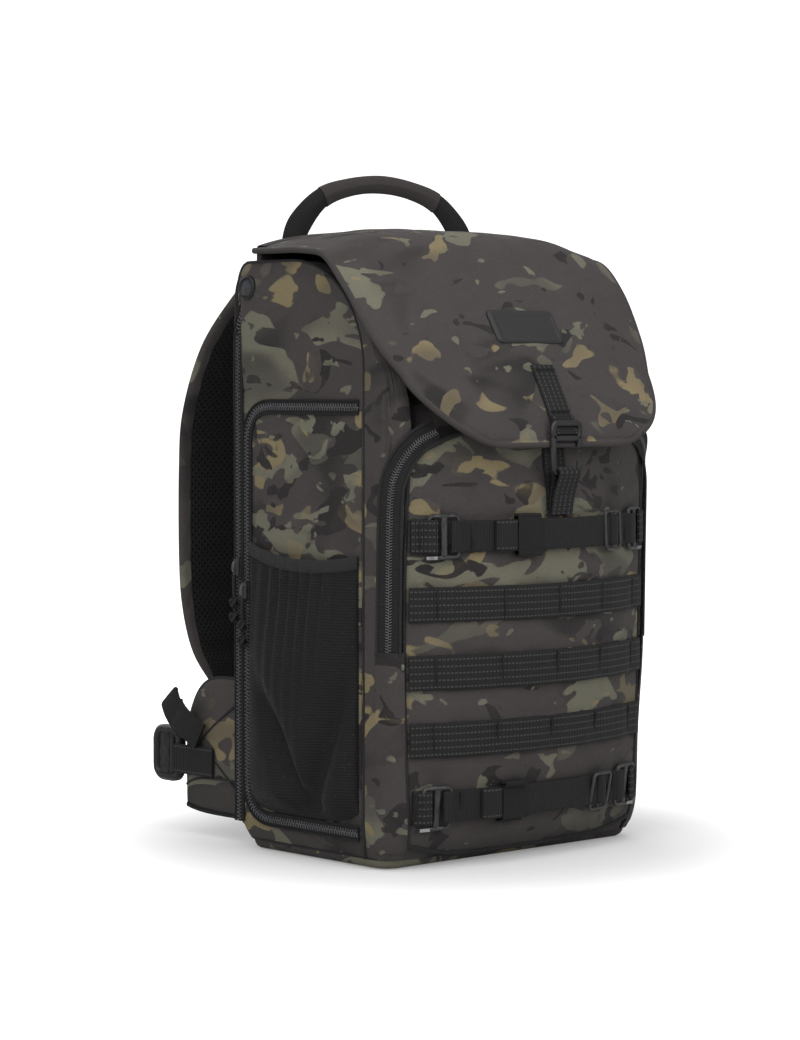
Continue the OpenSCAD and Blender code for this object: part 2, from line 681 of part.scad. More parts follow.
// Carry handle: flat webbing ends and a thicker folded grip, rows of [x, z, half height, half thickness]
grip_h = 15;
handle_line = [
    [-handle_half, handle_z, foot_w / 2, 0.3],
    [-handle_half, handle_z + 7, foot_w / 2, 2],
    [-handle_half + 7, handle_z + 26, foot_w / 2, 2],
    [-handle_half + 31, handle_z + 49, 9, 2.5],
    [-handle_half + 62, handle_z + handle_h - grip_h / 2 - 2, grip_h / 2, 2.5],
    [0, bag_h + handle_h - grip_h / 2, grip_h / 2, 2.5],
    [handle_half - 62, handle_z + handle_h - grip_h / 2 - 2, grip_h / 2, 2.5],
    [handle_half - 31, handle_z + 49, 9, 2.5],
    [handle_half - 7, handle_z + 26, foot_w / 2, 2],
    [handle_half, handle_z + 7, foot_w / 2, 2],
    [handle_half, handle_z, foot_w / 2, 0.3]
];
module grab_handle() {
    last = len(handle_line) - 1;
    us = [for (i = [0:40]) last * i / 40];
    up = function (u)
        let (d = curve(handle_line, min(u + 0.02, last)) - curve(handle_line, max(u - 0.02, 0)))
        u <= 1 ? [-1, 0] : u >= last - 1 ? [1, 0] : unit([-d[1], d[0]]);
    at = function (u, k, s)
        let (p = curve(handle_line, u), n = up(u))
        [p[0] + n[0] * k * p[2], handle_y + handle_t / 2 + s * p[3], p[1] + n[1] * k * p[2]];
    color(black) slab([for (u = us) [for (k = [-1, 0, 1]) at(u, k, -1)]],
        [for (u = us) [for (k = [-1, 0, 1]) at(u, k, 1)]]);
}

// Accessory strap: webbing over the front with hooks at both ends, a slider and a keeper
strap_off = 2 * gap + web_t;
hook_plate = 3;
hook_inset = 39;
hook_x = hw - hook_inset;
hook_l = 26;
glide_inset = 80;
glide_x = hw - glide_inset;
keeper_x = -44;
keeper_l = 40;
module accessory_strap(k) {
    reach = hook_x - hook_l / 2 * cos(atan(front_slope(hook_x, row_z(k) + row_w / 2))) - gap;
    color(black) front_strip(-reach, reach, row_z(k) + 1, row_z(k) + 1 + strap_w,
        strap_off, strap_off + web_t, 24);
}
module plate_with_slots(l, h, t, bar) {
    rotate([90, 0, 0]) linear_extrude(t) difference() {
        rounded(-l / 2, -h / 2, l / 2, h / 2, 3);
        for (s = [-1, 1]) translate([s * l / 4 - (l / 4 - bar), -h / 2 + bar])
            square([l / 2 - 2 * bar, h - 2 * bar]);
    }
}
module strap_hooks(k) {
    color(grey) for (x = [-hook_x, hook_x]) on_front(x, row_z(k) + row_w / 2, strap_off + gap)
        plate_with_slots(hook_l, row_w + 8, hook_plate, 2.4);
}
module strap_triglide(k) {
    color(black) on_front(glide_x, row_z(k) + row_w / 2, strap_off + web_t + gap + 0.4)
        plate_with_slots(22, strap_w + 8, hook_plate, 3);
}
module strap_keeper(k) {
    color(black) front_strip(keeper_x - keeper_l / 2, keeper_x + keeper_l / 2, row_z(k),
        row_z(k) + strap_w + 3, strap_off + web_t + gap, strap_off + 2 * web_t + gap, 8);
}

base_panel();
left_side_panel();
right_side_panel();
top_panel();
bulkhead();
front_gussets();
front_panel();
webbing_row(1);  // webbing_row_1
webbing_row(2);  // webbing_row_2
webbing_row(3);  // webbing_row_3
anchor_loops(4);  // upper_anchor_loops
anchor_loops(0);  // lower_anchor_loops
hook_loop_strap();
front_zip();
door_zip();
rear_zip();
port_plug();
padded_dividers();
right_pocket_mesh();
right_pocket_binding();
flap_top();
flap_front();
flap_patch();
flap_strap();
flap_hook();
side_door();
left_pocket_mesh();
left_pocket_binding();
door_slider();
door_pull();
rear_slider();
rear_pull();
rear_panel();
frame_sheet();
back_pads();
lumbar_pad();
strap_yoke();
strap_anchors();
grab_handle();
left_shoulder_strap();
left_strap_webbing();
left_ladder_lock();
right_shoulder_strap();
right_strap_webbing();
right_ladder_lock();
left_hip_wing();
left_hip_webbing();
left_hip_buckle();
right_hip_wing();
right_hip_webbing();
right_hip_buckle();
accessory_strap(4);  // upper_strap
strap_hooks(4);  // upper_hooks
strap_triglide(4);  // upper_triglide
strap_keeper(4);  // upper_keeper
accessory_strap(0);  // lower_strap
strap_hooks(0);  // lower_hooks
strap_triglide(0);  // lower_triglide
strap_keeper(0);  // lower_keeper
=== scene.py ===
"""Finished looks for a flap-top backpack: camouflage cloth, webbing, zips, mesh, padding and metal hooks.

Shapes are worked out in millimetres with +Z up and the front facing -Y, and are put into meshes in metres.
"""

import bpy
import numpy as np
from bpy.props import FloatProperty, FloatVectorProperty, PointerProperty
from bpy.types import Operator, Panel, PropertyGroup
from mathutils import Matrix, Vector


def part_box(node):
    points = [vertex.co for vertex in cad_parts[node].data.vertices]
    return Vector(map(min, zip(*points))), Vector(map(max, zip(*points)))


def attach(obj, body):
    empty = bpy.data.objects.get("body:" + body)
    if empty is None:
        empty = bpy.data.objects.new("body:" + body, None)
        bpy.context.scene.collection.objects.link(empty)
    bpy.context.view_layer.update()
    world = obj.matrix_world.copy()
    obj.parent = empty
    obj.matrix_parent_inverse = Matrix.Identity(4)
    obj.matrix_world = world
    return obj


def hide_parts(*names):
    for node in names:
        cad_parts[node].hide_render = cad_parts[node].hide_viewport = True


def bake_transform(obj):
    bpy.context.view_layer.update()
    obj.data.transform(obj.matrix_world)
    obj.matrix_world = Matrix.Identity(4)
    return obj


bl_info = {
    "name": "Flap-top backpack",
    "version": (1, 0, 0),
    "blender": (4, 5, 0),
    "location": "3D View > Sidebar > Backpack",
    "description": "Dresses the packed backpack with cloth, webbing, zips, padding and metal fittings",
    "category": "Object",
}

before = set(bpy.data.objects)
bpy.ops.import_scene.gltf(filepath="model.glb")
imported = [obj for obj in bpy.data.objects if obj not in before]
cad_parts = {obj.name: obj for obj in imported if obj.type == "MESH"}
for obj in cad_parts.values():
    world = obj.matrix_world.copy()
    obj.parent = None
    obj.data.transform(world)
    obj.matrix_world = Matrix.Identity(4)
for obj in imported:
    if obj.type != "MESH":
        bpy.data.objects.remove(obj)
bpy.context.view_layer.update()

MM = 0.001
RIGHT, BACK, UP = np.eye(3)

# Body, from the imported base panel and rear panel
HALF_W, HALF_D, BASE_T = np.array(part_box("base_panel")[1]) / MM
BAG_H = np.array(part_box("rear_panel")[1])[2] / MM + 6
SEAM_Y = -HALF_D + 25
CORNER_R = 22
ARC_X = HALF_W - CORNER_R
HOOD_R = 87
HOOD_Y = SEAM_Y + HOOD_R
HOOD_Z = BAG_H - 8 - HOOD_R
BULGE = 37
BULGE_H = 420
EDGE_BULGE = 8.5
EDGE_RISE = 15
EDGE_LEAN = 6
FRONT_TOP = 350
CORNER_TURN = 338
CORNER_TOP = 454

# Webbing rows on the front, lowest first
ROW_LOW = 36
ROW_PITCH = 53.5
ROW_W = 27.5
WEB_T = 2
HOOK_X = 106
GAP = 0.3

# Side door window and zips
DOOR_Y = SEAM_Y + 2
DOOR_REAR = HALF_D - 15
DOOR_LOW = 30
DOOR_HIGH = 362
DOOR_SLIDER_Z = 206
REAR_SLIDER_Z = 225
REAR_ZIP_Y = 88.0
REAR_ZIP_OPENS = 426
SIDE_TOOTH_W = 3.3

# Where each cloth is cut from the printed roll, in millimetres along it
SIDE_PRINT = 640
CORNER_PRINT = -330
FLAP_PRINT = 1400
WING_PRINT = 905

# Back and harness
PAD_Y = HALF_D + 4.9
STRAP_X = 90
STRAP_W = 25
STRAP_AXIS_Y = HALF_D + 20
YOKE_Z = BAG_H - 20
HANDLE_Y = HALF_D - 13.5
HANDLE_HALF = 98.0

# Camera, from the photograph's upright edges and vanishing lines
CAMERA_TURN = np.radians(43.2)
CAMERA_PLACE = (-1704.5, -1815.1, 386)
CAMERA_LENS = 103.4
CAMERA_PAN = 0.01396
CAMERA_DIP = 0.04687
LOOK = np.array([np.sin(CAMERA_TURN), np.cos(CAMERA_TURN), 0])
SIDEWAYS = np.array([LOOK[1], -LOOK[0], 0])


class BagSizes(PropertyGroup):
    """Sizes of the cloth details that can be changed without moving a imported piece."""

    pillow: FloatProperty(
        name="Pillow", description="How far cloth swells between two webbing rows, in millimetres",
        default=2.4)
    crease: FloatProperty(
        name="Crease", description="Depth of the soft creases in the cloth, in millimetres", default=0.9)
    piping: FloatProperty(
        name="Piping", description="Radius of the corded edge along the seams, in millimetres", default=2.0)
    tooth_pitch: FloatProperty(
        name="Tooth pitch", description="Distance from one zip tooth to the next, in millimetres",
        default=2.2)
    thread: FloatProperty(
        name="Thread", description="Width of one thread of the weave", default=0.0011, unit="LENGTH")
    stitch: FloatProperty(
        name="Stitch", description="Length of one stitch and its gap", default=0.0034, unit="LENGTH")
    print_scale: FloatProperty(
        name="Print scale", description="Number of blotches of the print in a metre", default=13.0)


def colour(label, text, value):
    """A colour property, in linear light."""
    return FloatVectorProperty(name=label, description=text, subtype="COLOR", size=3, min=0, max=1,
                               default=value)


class BagColours(PropertyGroup):
    """Colours of the cloths and fittings, in linear light."""

    ground: colour("Ground", "Ground colour of the printed cloth", (0.056, 0.0495, 0.048))
    shade: colour("Shade", "Darkest blotches of the printed cloth", (0.024, 0.021, 0.021))
    leaf: colour("Leaf", "Grey-green blotches of the printed cloth", (0.145, 0.140, 0.104))
    sand: colour("Sand", "Tan blotches of the printed cloth", (0.205, 0.167, 0.094))
    webbing: colour("Webbing", "Woven straps and bindings", (0.0135, 0.0135, 0.0142))
    stitching: colour("Stitching", "Thread that shows on the straps", (0.062, 0.062, 0.061))
    mesh: colour("Mesh", "Pocket mesh and back pads", (0.0085, 0.0085, 0.0092))
    lining: colour("Lining", "Inside of the bag", (0.055, 0.055, 0.058))
    plastic: colour("Plastic", "Moulded buckles", (0.012, 0.012, 0.013))
    coating: colour("Coating", "Dark coat on the metal fittings", (0.012, 0.012, 0.013))
    # bare also colours the painted highlights on the hooks' and triglides' edges and tips
    bare: colour("Bare metal", "Metal where the coat has worn off", (0.46, 0.455, 0.45))
    rubber: colour("Rubber", "Patch and port plug", (0.0165, 0.0165, 0.017))
    floor: colour("Floor", "Floor and backdrop", (0.64, 0.64, 0.64))


def unit(v):
    """Vectors of length one along the last axis."""
    return v / np.maximum(np.linalg.norm(v, axis=-1, keepdims=True), 1e-9)


def curve(points, u):
    """Smooth curve through the points, at index u: a Catmull-Rom cubic between neighbours."""
    p = np.asarray(points, float)
    p = np.vstack([2 * p[0] - p[1], p, 2 * p[-1] - p[-2]])
    i = np.clip(np.floor(u).astype(int), 0, len(p) - 4)
    t = (u - i)[:, None]
    a, b, c, d = p[i], p[i + 1], p[i + 2], p[i + 3]
    return 0.5 * (2 * b + (c - a) * t + (2 * a - 5 * b + 4 * c - d) * t**2 + (3 * b - a - 3 * c + d) * t**3)


def along(points, count):
    """Smooth curve through the points at count even steps of length."""
    fine = curve(points, np.linspace(0, len(points) - 1, 40 * len(points)))
    return even(fine, count)


def even(line, count):
    """The same polyline at count even steps of its length."""
    s = run(line)
    at = np.linspace(0, s[-1], count)
    return np.stack([np.interp(at, s, line[:, k]) for k in range(line.shape[1])], 1)


def run(line):
    """Length along a polyline up to each of its points."""
    return np.concatenate([[0], np.cumsum(np.linalg.norm(np.diff(line, axis=0), axis=1))])


def heading(line, ring=False):
    """Direction of travel at each point of a polyline."""
    if ring:
        return unit(np.roll(line, -1, 0) - np.roll(line, 1, 0))
    return unit(np.gradient(line, axis=0))


def at_x(x, places):
    """Points (x, y, z) at one x, from rows that start with y and z."""
    return np.column_stack([np.full(len(places), float(x)), places[:, :2]])


def rounded_line(corners, radius, step=3.0, ring=False):
    """Polyline through corners in a plane; each turns on a quadratic curve that starts radius before it."""
    c = [np.asarray(p, float) for p in corners]
    n = len(c)
    pieces = []
    for i in range(n):
        if not ring and i in (0, n - 1):
            pieces.append(c[i][None])
            continue
        a, b, d = c[i - 1], c[i], c[(i + 1) % n]
        r0 = min(radius, np.linalg.norm(b - a) / 2.01)
        r1 = min(radius, np.linalg.norm(d - b) / 2.01)
        p, q = b + unit(a - b) * r0, b + unit(d - b) * r1
        t = np.linspace(0, 1, 9)[:, None]
        pieces.append((1 - t) ** 2 * p + 2 * t * (1 - t) * b + t**2 * q)
    line = np.vstack(pieces + ([pieces[0][:1]] if ring else []))
    line = even(line, max(4, int(run(line)[-1] / step)))
    return line[:-1] if ring else line


def wobble(p, q, wave, seed=0.0):
    """Soft uneven ripple between -1 and 1: three sines of crossed and warped places."""
    a = np.sin(2 * np.pi * (p / wave + 0.31 * np.sin(q / wave * 2.1 + seed)) + seed)
    b = np.sin(2 * np.pi * (0.62 * q / wave + 0.27 * np.sin(p / wave * 3.3 - seed)) + 1.7 * seed)
    c = np.sin(2 * np.pi * (0.83 * p / wave - 0.71 * q / wave) + 2.9 * seed)
    return (a + b + c) / 3


def step_up(a, b, v):
    """Smooth step from 0 at a to 1 at b."""
    t = np.clip((v - a) / (b - a), 0, 1)
    return t * t * (3 - 2 * t)


def flat_profile(width, thick, crown=0.0, edge=4):
    """Closed outline of a strap in (across, out): a crowned face, a flat back and two rounded edges."""
    half, r = width / 2, thick / 2
    a = np.linspace(-half + r, half - r, 9)
    top = np.stack([a, r + crown * (1 - (a / half) ** 2)], 1)
    turn = np.linspace(0, np.pi, edge + 2)[1:-1]
    right = np.stack([half - r + r * np.sin(turn), r * np.cos(turn)], 1)
    back = np.stack([a[::-1], np.full(9, -r)], 1)
    left = np.stack([-half + r - r * np.sin(turn), -r * np.cos(turn)], 1)
    return np.vstack([top, right, back, left])


def round_profile(radius, count=10):
    """Closed circle of (across, out) points."""
    t = np.linspace(0, 2 * np.pi, count, endpoint=False)
    return radius * np.stack([np.cos(t), np.sin(t)], 1)


def bar_profile(width, thick, bevel=0.6):
    """Closed rectangle of (across, out) points with cut corners."""
    a, b = width / 2, thick / 2
    c = min(bevel, a * 0.9, b * 0.9)
    return np.array([[-a + c, b], [a - c, b], [a, b - c], [a, -b + c], [a - c, -b], [-a + c, -b],
                     [-a, -b + c], [-a, b - c]])


class Piece:
    """Collects surfaces into one mesh with cloth coordinates in metres and a finish for each surface."""

    def __init__(self, name):
        self.name = name
        self.verts, self.uvs, self.wear = [], [], []
        self.faces, self.corners, self.finish = [], [], []
        self.count = 0
        self.uv_count = 0
        self.finishes = []

    def add(self, verts, uv, faces, corners, finish, wear=None):
        """Appends faces that index verts, with corners that index uv."""
        if finish not in self.finishes:
            self.finishes.append(finish)
        self.verts.append(verts.reshape(-1, 3))
        self.uvs.append(uv.reshape(-1, 2))
        self.wear.append(np.broadcast_to(0.0 if wear is None else wear, verts.shape[:-1]).ravel())
        self.faces += [[v + self.count for v in f] for f in faces]
        self.corners += [[c + self.uv_count for c in f] for f in corners]
        self.finish += [self.finishes.index(finish)] * len(faces)
        self.count += len(self.verts[-1])
        self.uv_count += len(self.uvs[-1])

    def grid(self, points, finish, uv=None, wrap=(False, False), flip=False, ends=False, wear=None,
             keep=None):
        """Grid of points (rows, columns, 3): a wrapped side closes on itself, ends caps the end rows."""
        n, m = points.shape[:2]
        wr, wc = int(wrap[0]), int(wrap[1])
        i, j = (k.ravel() for k in np.meshgrid(np.arange(n - 1 + wr), np.arange(m - 1 + wc), indexing="ij"))
        ii, jj = np.stack([i, i + 1, i + 1, i], 1), np.stack([j, j, j + 1, j + 1], 1)
        if keep is not None:
            chosen = keep.ravel()
            ii, jj = ii[chosen], jj[chosen]
        if uv is None:
            uv = spread(points, wr, wc)
        faces = (ii % n) * m + jj % m
        corners = ii * (m + wc) + jj
        if flip:
            faces, corners = faces[:, ::-1], corners[:, ::-1]
        faces, corners = faces.tolist(), corners.tolist()
        if ends:
            first, last = list(range(m)), list(range((n - 1) * m, n * m))
            first_c, last_c = list(range(m)), list(range((n - 1) * (m + wc), (n - 1) * (m + wc) + m))
            faces += [first, last[::-1]] if not flip else [first[::-1], last]
            corners += [first_c, last_c[::-1]] if not flip else [first_c[::-1], last_c]
        self.add(points, uv * MM, faces, corners, finish, wear)

    def shell(self, outer, inner, finish, lining=None, keep=None, uv=None):
        """Closed wall between two grids: both faces, and a rim along every open edge of the kept quads."""
        n, m = outer.shape[:2]
        uv = spread(outer, 0, 0) if uv is None else uv
        keep = np.ones((n - 1, m - 1), bool) if keep is None else keep
        i, j = np.nonzero(keep)
        quads = np.stack([i * m + j, (i + 1) * m + j, (i + 1) * m + j + 1, i * m + j + 1], 1)
        edges = np.concatenate([quads[:, [k, (k + 1) % 4]] for k in range(4)])
        key = edges[:, 0] * n * m + edges[:, 1]
        back = edges[:, 1] * n * m + edges[:, 0]
        rim = edges[~np.isin(key, back)]
        size = n * m
        rims = np.stack([rim[:, 1], rim[:, 0], rim[:, 0] + size, rim[:, 1] + size], 1)
        both = np.concatenate([outer.reshape(-1, 3), inner.reshape(-1, 3)])
        if volume(both, np.concatenate([quads, quads[:, ::-1] + size, rims])) < 0:
            quads, rims = quads[:, ::-1], rims[:, ::-1]
        cover = np.concatenate([quads, rims])
        flat = np.concatenate([uv.reshape(-1, 2)] * 2) * MM
        self.add(both, flat, cover.tolist(), cover.tolist(), finish)
        lining = finish if lining is None else lining
        if lining not in self.finishes:
            self.finishes.append(lining)
        inside = quads[:, ::-1] + size
        self.faces += (inside + self.count - 2 * size).tolist()
        self.corners += (inside + self.uv_count - 2 * size).tolist()
        self.finish += [self.finishes.index(lining)] * len(inside)

    def sweep(self, path, out, profile, finish, ring=False, wear=None, across=None):
        """Carries a closed profile along a path: point = path + a * across + b * out, with capped ends."""
        path, out = np.asarray(path, float), np.broadcast_to(np.asarray(out, float), np.shape(path))
        if across is None:
            across = unit(np.cross(heading(path, ring), out))
        across, profile = np.broadcast_to(across, path.shape), np.asarray(profile, float)
        shape = np.broadcast_to(profile, (len(path),) + profile.shape[-2:])
        points = path[:, None] + shape[..., :1] * across[:, None] + shape[..., 1:] * out[:, None]
        s = run(np.vstack([path, path[:1]]) if ring else path)
        v = shape[0, :, 0] - shape[0, :, 0].min()
        if np.allclose(np.linalg.norm(shape[0], axis=1), np.linalg.norm(shape[0, 0])):
            v = np.arange(len(v)) * np.linalg.norm(shape[0, 0] - shape[0, 1])
        v = np.append(v, v[0] if v[0] == v.min() and v.max() != v[-1] else 2 * v[-1] - v[-2])
        uv = np.stack(np.meshgrid(s, v, indexing="ij"), -1)
        flip = swept_inside_out(points, ring)
        self.grid(points, finish, uv, (ring, True), flip, not ring, wear)

    def stamp(self, shape, faces, places, axes, finish, wear=None):
        """Copies of a small solid: a point lands at its place plus three sizes along that place's axes."""
        points = places[:, None] + np.einsum("vk,nkd->nvd", shape, axes)
        base = (np.arange(len(places)) * len(shape))[:, None]
        quads = [(base + np.array(f)[None]).tolist() for f in faces]
        flat = [f for group in quads for f in group]
        uv = np.broadcast_to(shape[None, :, :2], points.shape[:2] + (2,))
        self.add(points, uv * MM, flat, flat, finish, wear)

    def build(self, sharp=45):
        """Makes the mesh object."""
        mesh = bpy.data.meshes.new(self.name)
        verts = np.concatenate(self.verts) * MM
        mesh.from_pydata(verts.tolist(), [], self.faces)
        uv = np.concatenate(self.uvs)[np.concatenate([np.array(c) for c in self.corners])]
        mesh.uv_layers.new(name="cloth").data.foreach_set("uv", uv.astype(np.float32).ravel())
        mesh.attributes.new("wear", "FLOAT", "POINT").data.foreach_set("value", np.concatenate(self.wear))
        for finish in self.finishes:
            mesh.materials.append(bpy.data.materials[finish])
        mesh.polygons.foreach_set("material_index", self.finish)
        mesh.shade_smooth()
        mesh.set_sharp_from_angle(angle=np.radians(sharp))
        mesh.validate()
        obj = bpy.data.objects.new(self.name, mesh)
        bpy.context.scene.collection.objects.link(obj)
        return obj

    def done(self, body, replaces=()):
        """Makes the object, lets it ride on a body, and hides the nodes it stands for."""
        obj = self.build()
        if body:
            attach(obj, body)
        if replaces:
            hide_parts(*replaces)
        return obj


def spread(points, wr, wc):
    """Cloth coordinates of a grid: mean run along its rows and along its columns."""
    p = np.concatenate([points, points[:1]]) if wr else points
    p = np.concatenate([p, p[:, :1]], 1) if wc else p
    down = np.linalg.norm(np.diff(p, axis=0), axis=2).mean(1)
    over = np.linalg.norm(np.diff(p, axis=1), axis=2).mean(0)
    u, v = np.concatenate([[0], np.cumsum(down)]), np.concatenate([[0], np.cumsum(over)])
    return np.stack(np.meshgrid(u, v, indexing="ij"), -1)


def volume(verts, quads):
    """Signed volume that a closed set of quads holds."""
    a, b, c, d = (verts[quads[:, k]] for k in range(4))
    return (np.einsum("ij,ij->i", a, np.cross(b, c)) + np.einsum("ij,ij->i", a, np.cross(c, d))).sum() / 6


def swept_inside_out(points, ring):
    """True where the quads of a swept grid would face its own middle line."""
    n = len(points)
    i = np.arange(n if ring else n - 1)
    mid = points.mean(1)
    a, b, d = points[i], points[(i + 1) % n], np.roll(points[i], -1, 1)
    face = np.cross(b - a, d - a)
    return (face * (a - mid[i][:, None])).sum() < 0


CUBE = np.array([[x, y, z] for x in (-0.5, 0.5) for y in (-0.5, 0.5) for z in (-0.5, 0.5)])
CUBE_FACES = [[0, 1, 3, 2], [4, 6, 7, 5], [0, 4, 5, 1], [2, 3, 7, 6], [0, 2, 6, 4], [1, 5, 7, 3]]


class Nodes:
    """Short way to write a node tree: every helper gives back an output socket."""

    def __init__(self, tree):
        self.tree = tree

    def new(self, kind, settings=(), **inputs):
        """A node with its settings and inputs, where an input is a value or a socket to link."""
        node = self.tree.nodes.new(kind)
        for key, value in dict(settings).items():
            setattr(node, key, value)
        for key, value in inputs.items():
            self.put(node.inputs[key.replace("_", " ")], value)
        return node

    def put(self, socket, value):
        """Links a socket to an input, or sets its value."""
        if isinstance(value, bpy.types.NodeSocket):
            self.tree.links.new(value, socket)
        else:
            socket.default_value = value

    def math(self, kind, a, b=0.0, clamp=False):
        """One step of arithmetic on two values."""
        node = self.new("ShaderNodeMath", {"operation": kind, "use_clamp": clamp})
        self.put(node.inputs[0], a)
        self.put(node.inputs[1], b)
        return node.outputs[0]

    def plus(self, a, b):
        """Sum of two values."""
        return self.math("ADD", a, b)

    def minus(self, a, b):
        """Difference of two values."""
        return self.math("SUBTRACT", a, b)

    def times(self, a, b, clamp=False):
        """Product of two values, kept between 0 and 1 where clamp is set."""
        return self.math("MULTIPLY", a, b, clamp)

    def wave(self, value, period):
        """Sine of a length in metres, from 0 to 1, once in each period."""
        turn = self.math("SINE", self.times(value, 2 * np.pi / period))
        return self.plus(self.times(turn, 0.5), 0.5)

    def noise(self, vector, scale, detail=2.0, rough=0.5, warp=0.0):
        """Cloudy value between 0 and 1."""
        return self.new("ShaderNodeTexNoise", Vector=vector, Scale=scale, Detail=detail, Roughness=rough,
                        Distortion=warp).outputs["Fac"]

    def step(self, value, low, high):
        """Smooth step from 0 at low to 1 at high."""
        node = self.new("ShaderNodeMapRange", {"interpolation_type": "SMOOTHSTEP"})
        for key, entry in (("Value", value), ("From Min", low), ("From Max", high), ("To Min", 0.0),
                           ("To Max", 1.0)):
            self.put(node.inputs[key], entry)
        return node.outputs["Result"]

    def mix(self, share, a, b):
        """Mix of two colours by a share."""
        node = self.new("ShaderNodeMix", {"data_type": "RGBA"})
        self.put(node.inputs["Factor"], share)
        self.put(node.inputs["A"], a)
        self.put(node.inputs["B"], b)
        return node.outputs["Result"]

    def split(self, vector):
        """The x and y of a vector."""
        node = self.new("ShaderNodeSeparateXYZ", Vector=vector)
        return node.outputs["X"], node.outputs["Y"]


def effect(name, inputs, outputs, build):
    """Shader node group with named inputs and outputs, filled in by build(nodes, inputs)."""
    tree = bpy.data.node_groups.new(name, "ShaderNodeTree")
    for label, kind, value in inputs:
        socket = tree.interface.new_socket(label, in_out="INPUT", socket_type=kind)
        if value is not None:
            socket.default_value = value
    for label, kind in outputs:
        tree.interface.new_socket(label, in_out="OUTPUT", socket_type=kind)
    source, sink = tree.nodes.new("NodeGroupInput"), tree.nodes.new("NodeGroupOutput")
    results = build(Nodes(tree), source.outputs)
    for label, socket in results.items():
        tree.links.new(socket, sink.inputs[label])
    return tree


VECTOR, VALUE, COLOUR = "NodeSocketVector", "NodeSocketFloat", "NodeSocketColor"


def weave_effect(n, i):
    """Plain weave: over-and-under threads as a product of two sines, uneven from thread to thread."""
    u, v = n.split(i["Cloth"])
    turn = n.math("DIVIDE", np.pi, i["Thread"])
    a, b = n.math("SINE", n.times(u, turn)), n.math("SINE", n.times(v, turn))
    lift = n.plus(n.times(n.times(a, b), 0.5), 0.5)
    slub = n.noise(i["Cloth"], 420.0, 2.0, 0.6)
    height = n.plus(n.times(lift, 0.6), n.times(slub, 0.5))
    # shade darkens the weave where its threads dip under: painted shade in the hollows between threads, plus
    # the slubs' own uneven tone
    shade = n.plus(0.72, n.times(height, 0.5))
    return {"Height": height, "Shade": shade}


def print_effect(n, i):
    """Printed blotches: layers of noise cut at a level, thinned and faded by slower noises."""
    grain = n.times(n.minus(n.noise(i["Cloth"], 1100.0, 1.0, 0.5), 0.5), 0.02)
    shown = i["Ground"]
    layers = (("Shade", 0.8, 0.54, 0.72, 0.0, 0.2), ("Leaf", 1.0, 0.556, 0.566, 0.22, 0.65),
              ("Sand", 1.35, 0.600, 0.612, 0.22, 0.5), ("Ground", 1.7, 0.610, 0.622, 0.0, 0.1),
              ("Shade", 2.0, 0.625, 0.638, 0.0, 0.2), ("Leaf", 2.8, 0.660, 0.674, 0.16, 0.3))
    for k, (name, size, low, high, thin, fading) in enumerate(layers):
        place = n.new("ShaderNodeMapping", Vector=i["Cloth"], Location=(0.37 * k + 0.11, 0.23 * k, 0.6 * k),
                      Scale=(1.0, 1.55, 1.0)).outputs[0]
        cloud = n.noise(place, n.times(i["Scale"], size), 2.2, 0.46, 0.6)
        field = n.noise(place, n.times(i["Scale"], 0.3), 1.0, 0.5)
        mist = n.noise(place, n.times(i["Scale"], 1.1 * size), 0.0, 0.5)
        bare = n.plus(n.times(n.minus(0.55, field), thin), i["Thin"])
        level = n.minus(n.plus(cloud, grain), bare)
        fade = n.minus(1.0, n.times(n.step(mist, 0.58, 0.36), fading))
        shown = n.mix(n.times(n.step(level, low, high), fade), shown, i[name])
    return {"Colour": shown}


def stitch_effect(n, i):
    """Rows of stitches: a thread that dips at even steps along lines at an even pitch across the strap."""
    u, v = n.split(i["Cloth"])
    line = n.math("FRACT", n.plus(n.math("DIVIDE", v, i["Pitch"]), i["Shift"]))
    near = n.math("ABSOLUTE", n.minus(line, 0.5))
    width = n.math("DIVIDE", 0.0005, i["Pitch"])
    on_line = n.minus(1.0, n.step(near, n.times(width, 0.6), n.times(width, 1.4)))
    dash = n.math("ABSOLUTE", n.minus(n.math("FRACT", n.math("DIVIDE", u, i["Stitch"])), 0.5))
    on_dash = n.minus(1.0, n.step(dash, 0.26, 0.36))
    return {"Mask": n.times(on_line, on_dash), "Dent": n.times(on_line, -0.5)}


def soil_effect(n, i):
    """Handling marks: slow cloudy change of shade and gloss with a little lint."""
    cloud = n.noise(i["Place"], 26.0, 4.0, 0.62)
    lint = n.step(n.noise(i["Place"], 520.0, 2.0, 0.7), 0.66, 0.74)
    tone = n.plus(0.86, n.times(cloud, 0.28))
    rough = n.plus(i["Roughness"], n.times(n.minus(cloud, 0.5), i["Change"]))
    return {"Tone": tone, "Roughness": rough, "Lint": n.times(lint, i["Dust"])}


def make_effects(sizes):
    """The node groups that several finishes share."""
    cloth = ("Cloth", VECTOR, None)
    effect("weave", [cloth, ("Thread", VALUE, sizes.thread)], [("Height", VALUE), ("Shade", VALUE)],
           weave_effect)
    inks = [(name, COLOUR, None) for name in ("Ground", "Shade", "Leaf", "Sand")]
    effect("blotch print", [cloth, ("Scale", VALUE, sizes.print_scale), ("Thin", VALUE, 0.0)] + inks,
           [("Colour", COLOUR)], print_effect)
    effect("stitching", [cloth, ("Pitch", VALUE, 0.007), ("Shift", VALUE, 0.0),
                         ("Stitch", VALUE, sizes.stitch)],
           [("Mask", VALUE), ("Dent", VALUE)], stitch_effect)
    effect("soil", [("Place", VECTOR, None), ("Roughness", VALUE, 0.7), ("Change", VALUE, 0.2),
                    ("Dust", VALUE, 0.3)],
           [("Tone", VALUE), ("Roughness", VALUE), ("Lint", VALUE)], soil_effect)


